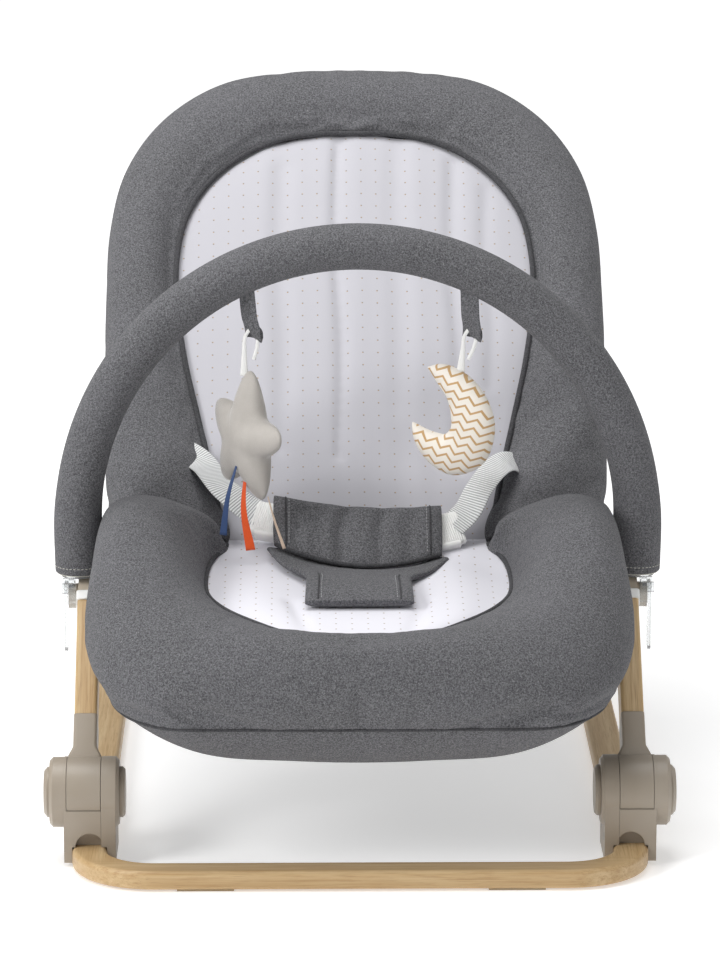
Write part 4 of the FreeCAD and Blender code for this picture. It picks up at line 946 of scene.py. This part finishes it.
for x, width, depth in ((-48, 6, 3.2), (-33, 5, 2.0), (-13, 6, 5.5), (18, 6, 5.0), (42, 7, 3.4)):
    crease(belt, [(x + 3, -93, 248), (x - 1, -108, 234), (x + 2, -128, 213)], width, depth)
binding = tube("waist_binding", line(belt_grid[2:-2:7, 19], 240), 2.0, PIPING, 8)
finish_soft(belt, "seat", ["waist_pad"])
finish_soft(crotch, "seat", ["crotch_pad"])
finish_soft(binding, "seat", [], subdivide=0)
for word, side in SIDES:
    crotch_seam = crotch_grid[2:40:5, 27 + 3 * side]
    belt_seam = belt_grid[8 if side < 0 else -9, 1:19:3]
    for name, seam in (("crotch", crotch_seam), ("belt", belt_seam)):
        # A thin dark tube in each seam line: painted shade in the stitched groove.
        painted_seam_shade = tube(f"{word}_{name}_seam", line(seam, 50), 0.8, PIPING, 6)
        thread = stitches(f"{word}_{name}_stitches", line(seam + [-side * 2.6, -0.3, 0.3], 40), 3.0, 2.2, 0.4, THREAD)
        for piece in (painted_seam_shade, thread):
            finish_soft(piece, "seat", [], subdivide=0)

STRAP_BENDS = {
    "left": [on_back(-147, 140, -2), on_back(-131, 125, 5), (-106, -66, 258), (-85, -80, 245), (-74, -86, 241)],
    "right": [on_back(137, 124, -4), on_back(122, 116, 12), (100, -62, 260), (88, -76, 242), (76, -86, 233)],
}
for word, side in SIDES:
    strap = waist_strap(word, side, STRAP_BENDS[word])
    finish_soft(strap, "seat", [f"{word}_waist_strap"], subdivide=0)
    clasp, lip = buckle(word, side)
    finish_soft(clasp, "seat", [f"{word}_buckle"], subdivide=0)
    finish_soft(lip, "seat", [], subdivide=0)

low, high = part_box("side_tag")
tag_path = line([(low.x / MM + 0.6, high.y / MM - 3, high.z / MM), (low.x / MM + 2.2, low.y / MM + 8, high.z / MM - 14),
                 (low.x / MM + 1.2, low.y / MM + 6, low.z / MM)], 24)
tag = strip("blank_side_tag", tag_path, np.tile([0.15, 1.0, 0.1], (24, 1)), 19, 0.8, woven(
    "tag_satin", rgb(222, 224, 228), 1500))
finish_soft(tag, "seat", ["side_tag"], subdivide=0)

finish_soft(star_piece, "star_toy", ["star_body"])
finish_soft(star_link, "star_toy", ["star_ring"], subdivide=0)
for piece in ribbons:
    finish_soft(piece, "star_toy", ["star_ribbons"] if piece == ribbons[0] else [], subdivide=0)
finish_soft(moon_piece, "moon_toy", ["moon_body"])
finish_soft(moon_link, "moon_toy", ["moon_ring"], subdivide=0)


# ---- camera, light and floor ----

def camera():
    """Three and a half metres in front of the ring, a little to the left, looking slightly down."""
    data = bpy.data.cameras.new("camera")
    data.sensor_fit = "VERTICAL"
    data.sensor_height = 36
    data.lens = 178.4
    view = bpy.data.objects.new("camera", data)
    view.location = (-0.047, FRONT * MM - 3.5, 1.107)
    view.rotation_euler = (math.radians(90 - 12.6), 0, math.radians(-0.75))
    scene.collection.objects.link(view)
    scene.camera = view


def lamp(name, place, size, power, target=(0, 0, 0.25)):
    data = bpy.data.lights.new(name, "AREA")
    data.shape = "RECTANGLE"
    data.size, data.size_y = size
    data.energy = power
    light = bpy.data.objects.new(name, data)
    light.location = place
    light.rotation_euler = (Vector(target) - Vector(place)).to_track_quat("-Z", "Y").to_euler()
    scene.collection.objects.link(light)


def studio():
    floor_shader = Shader("studio_floor", Roughness=0.9, Emission_Color=(1, 1, 1, 1))
    where = floor_shader.coordinates("Object")
    drift = floor_shader.noise(where, 2, 2)
    far = floor_shader.add("ShaderNodeVectorMath", {0: where}, operation="LENGTH").outputs["Value"]
    floor_shader.connect(Base_Color=floor_shader.mix(drift, (0.80, 0.80, 0.80, 1), (0.83, 0.83, 0.83, 1)),
                         Emission_Strength=floor_shader.spread(far, 0.6, 3.0, 0.42, 0.72))
    size = 14000
    floor = mesh_piece("studio_floor", [(-size, -size, 0), (size, -size, 0), (size, size, 0), (-size, size, 0)],
                       [(0, 1, 2, 3)], floor_shader.material)
    world = bpy.data.worlds.new("studio")
    world.use_nodes = True
    background = world.node_tree.nodes["Background"]
    background.inputs["Color"].default_value = (1, 1, 1, 1)
    background.inputs["Strength"].default_value = 0.36
    scene.world = world
    scene.view_settings.view_transform = "Standard"
    lamp("key", (-2.4, -1.7, 2.0), (1.2, 1.2), 54)
    lamp("fill", (2.2, -2.2, 1.2), (1.8, 1.8), 2)
    lamp("top", (-0.3, 0.0, 2.6), (1.6, 1.6), 46)


camera()
studio()
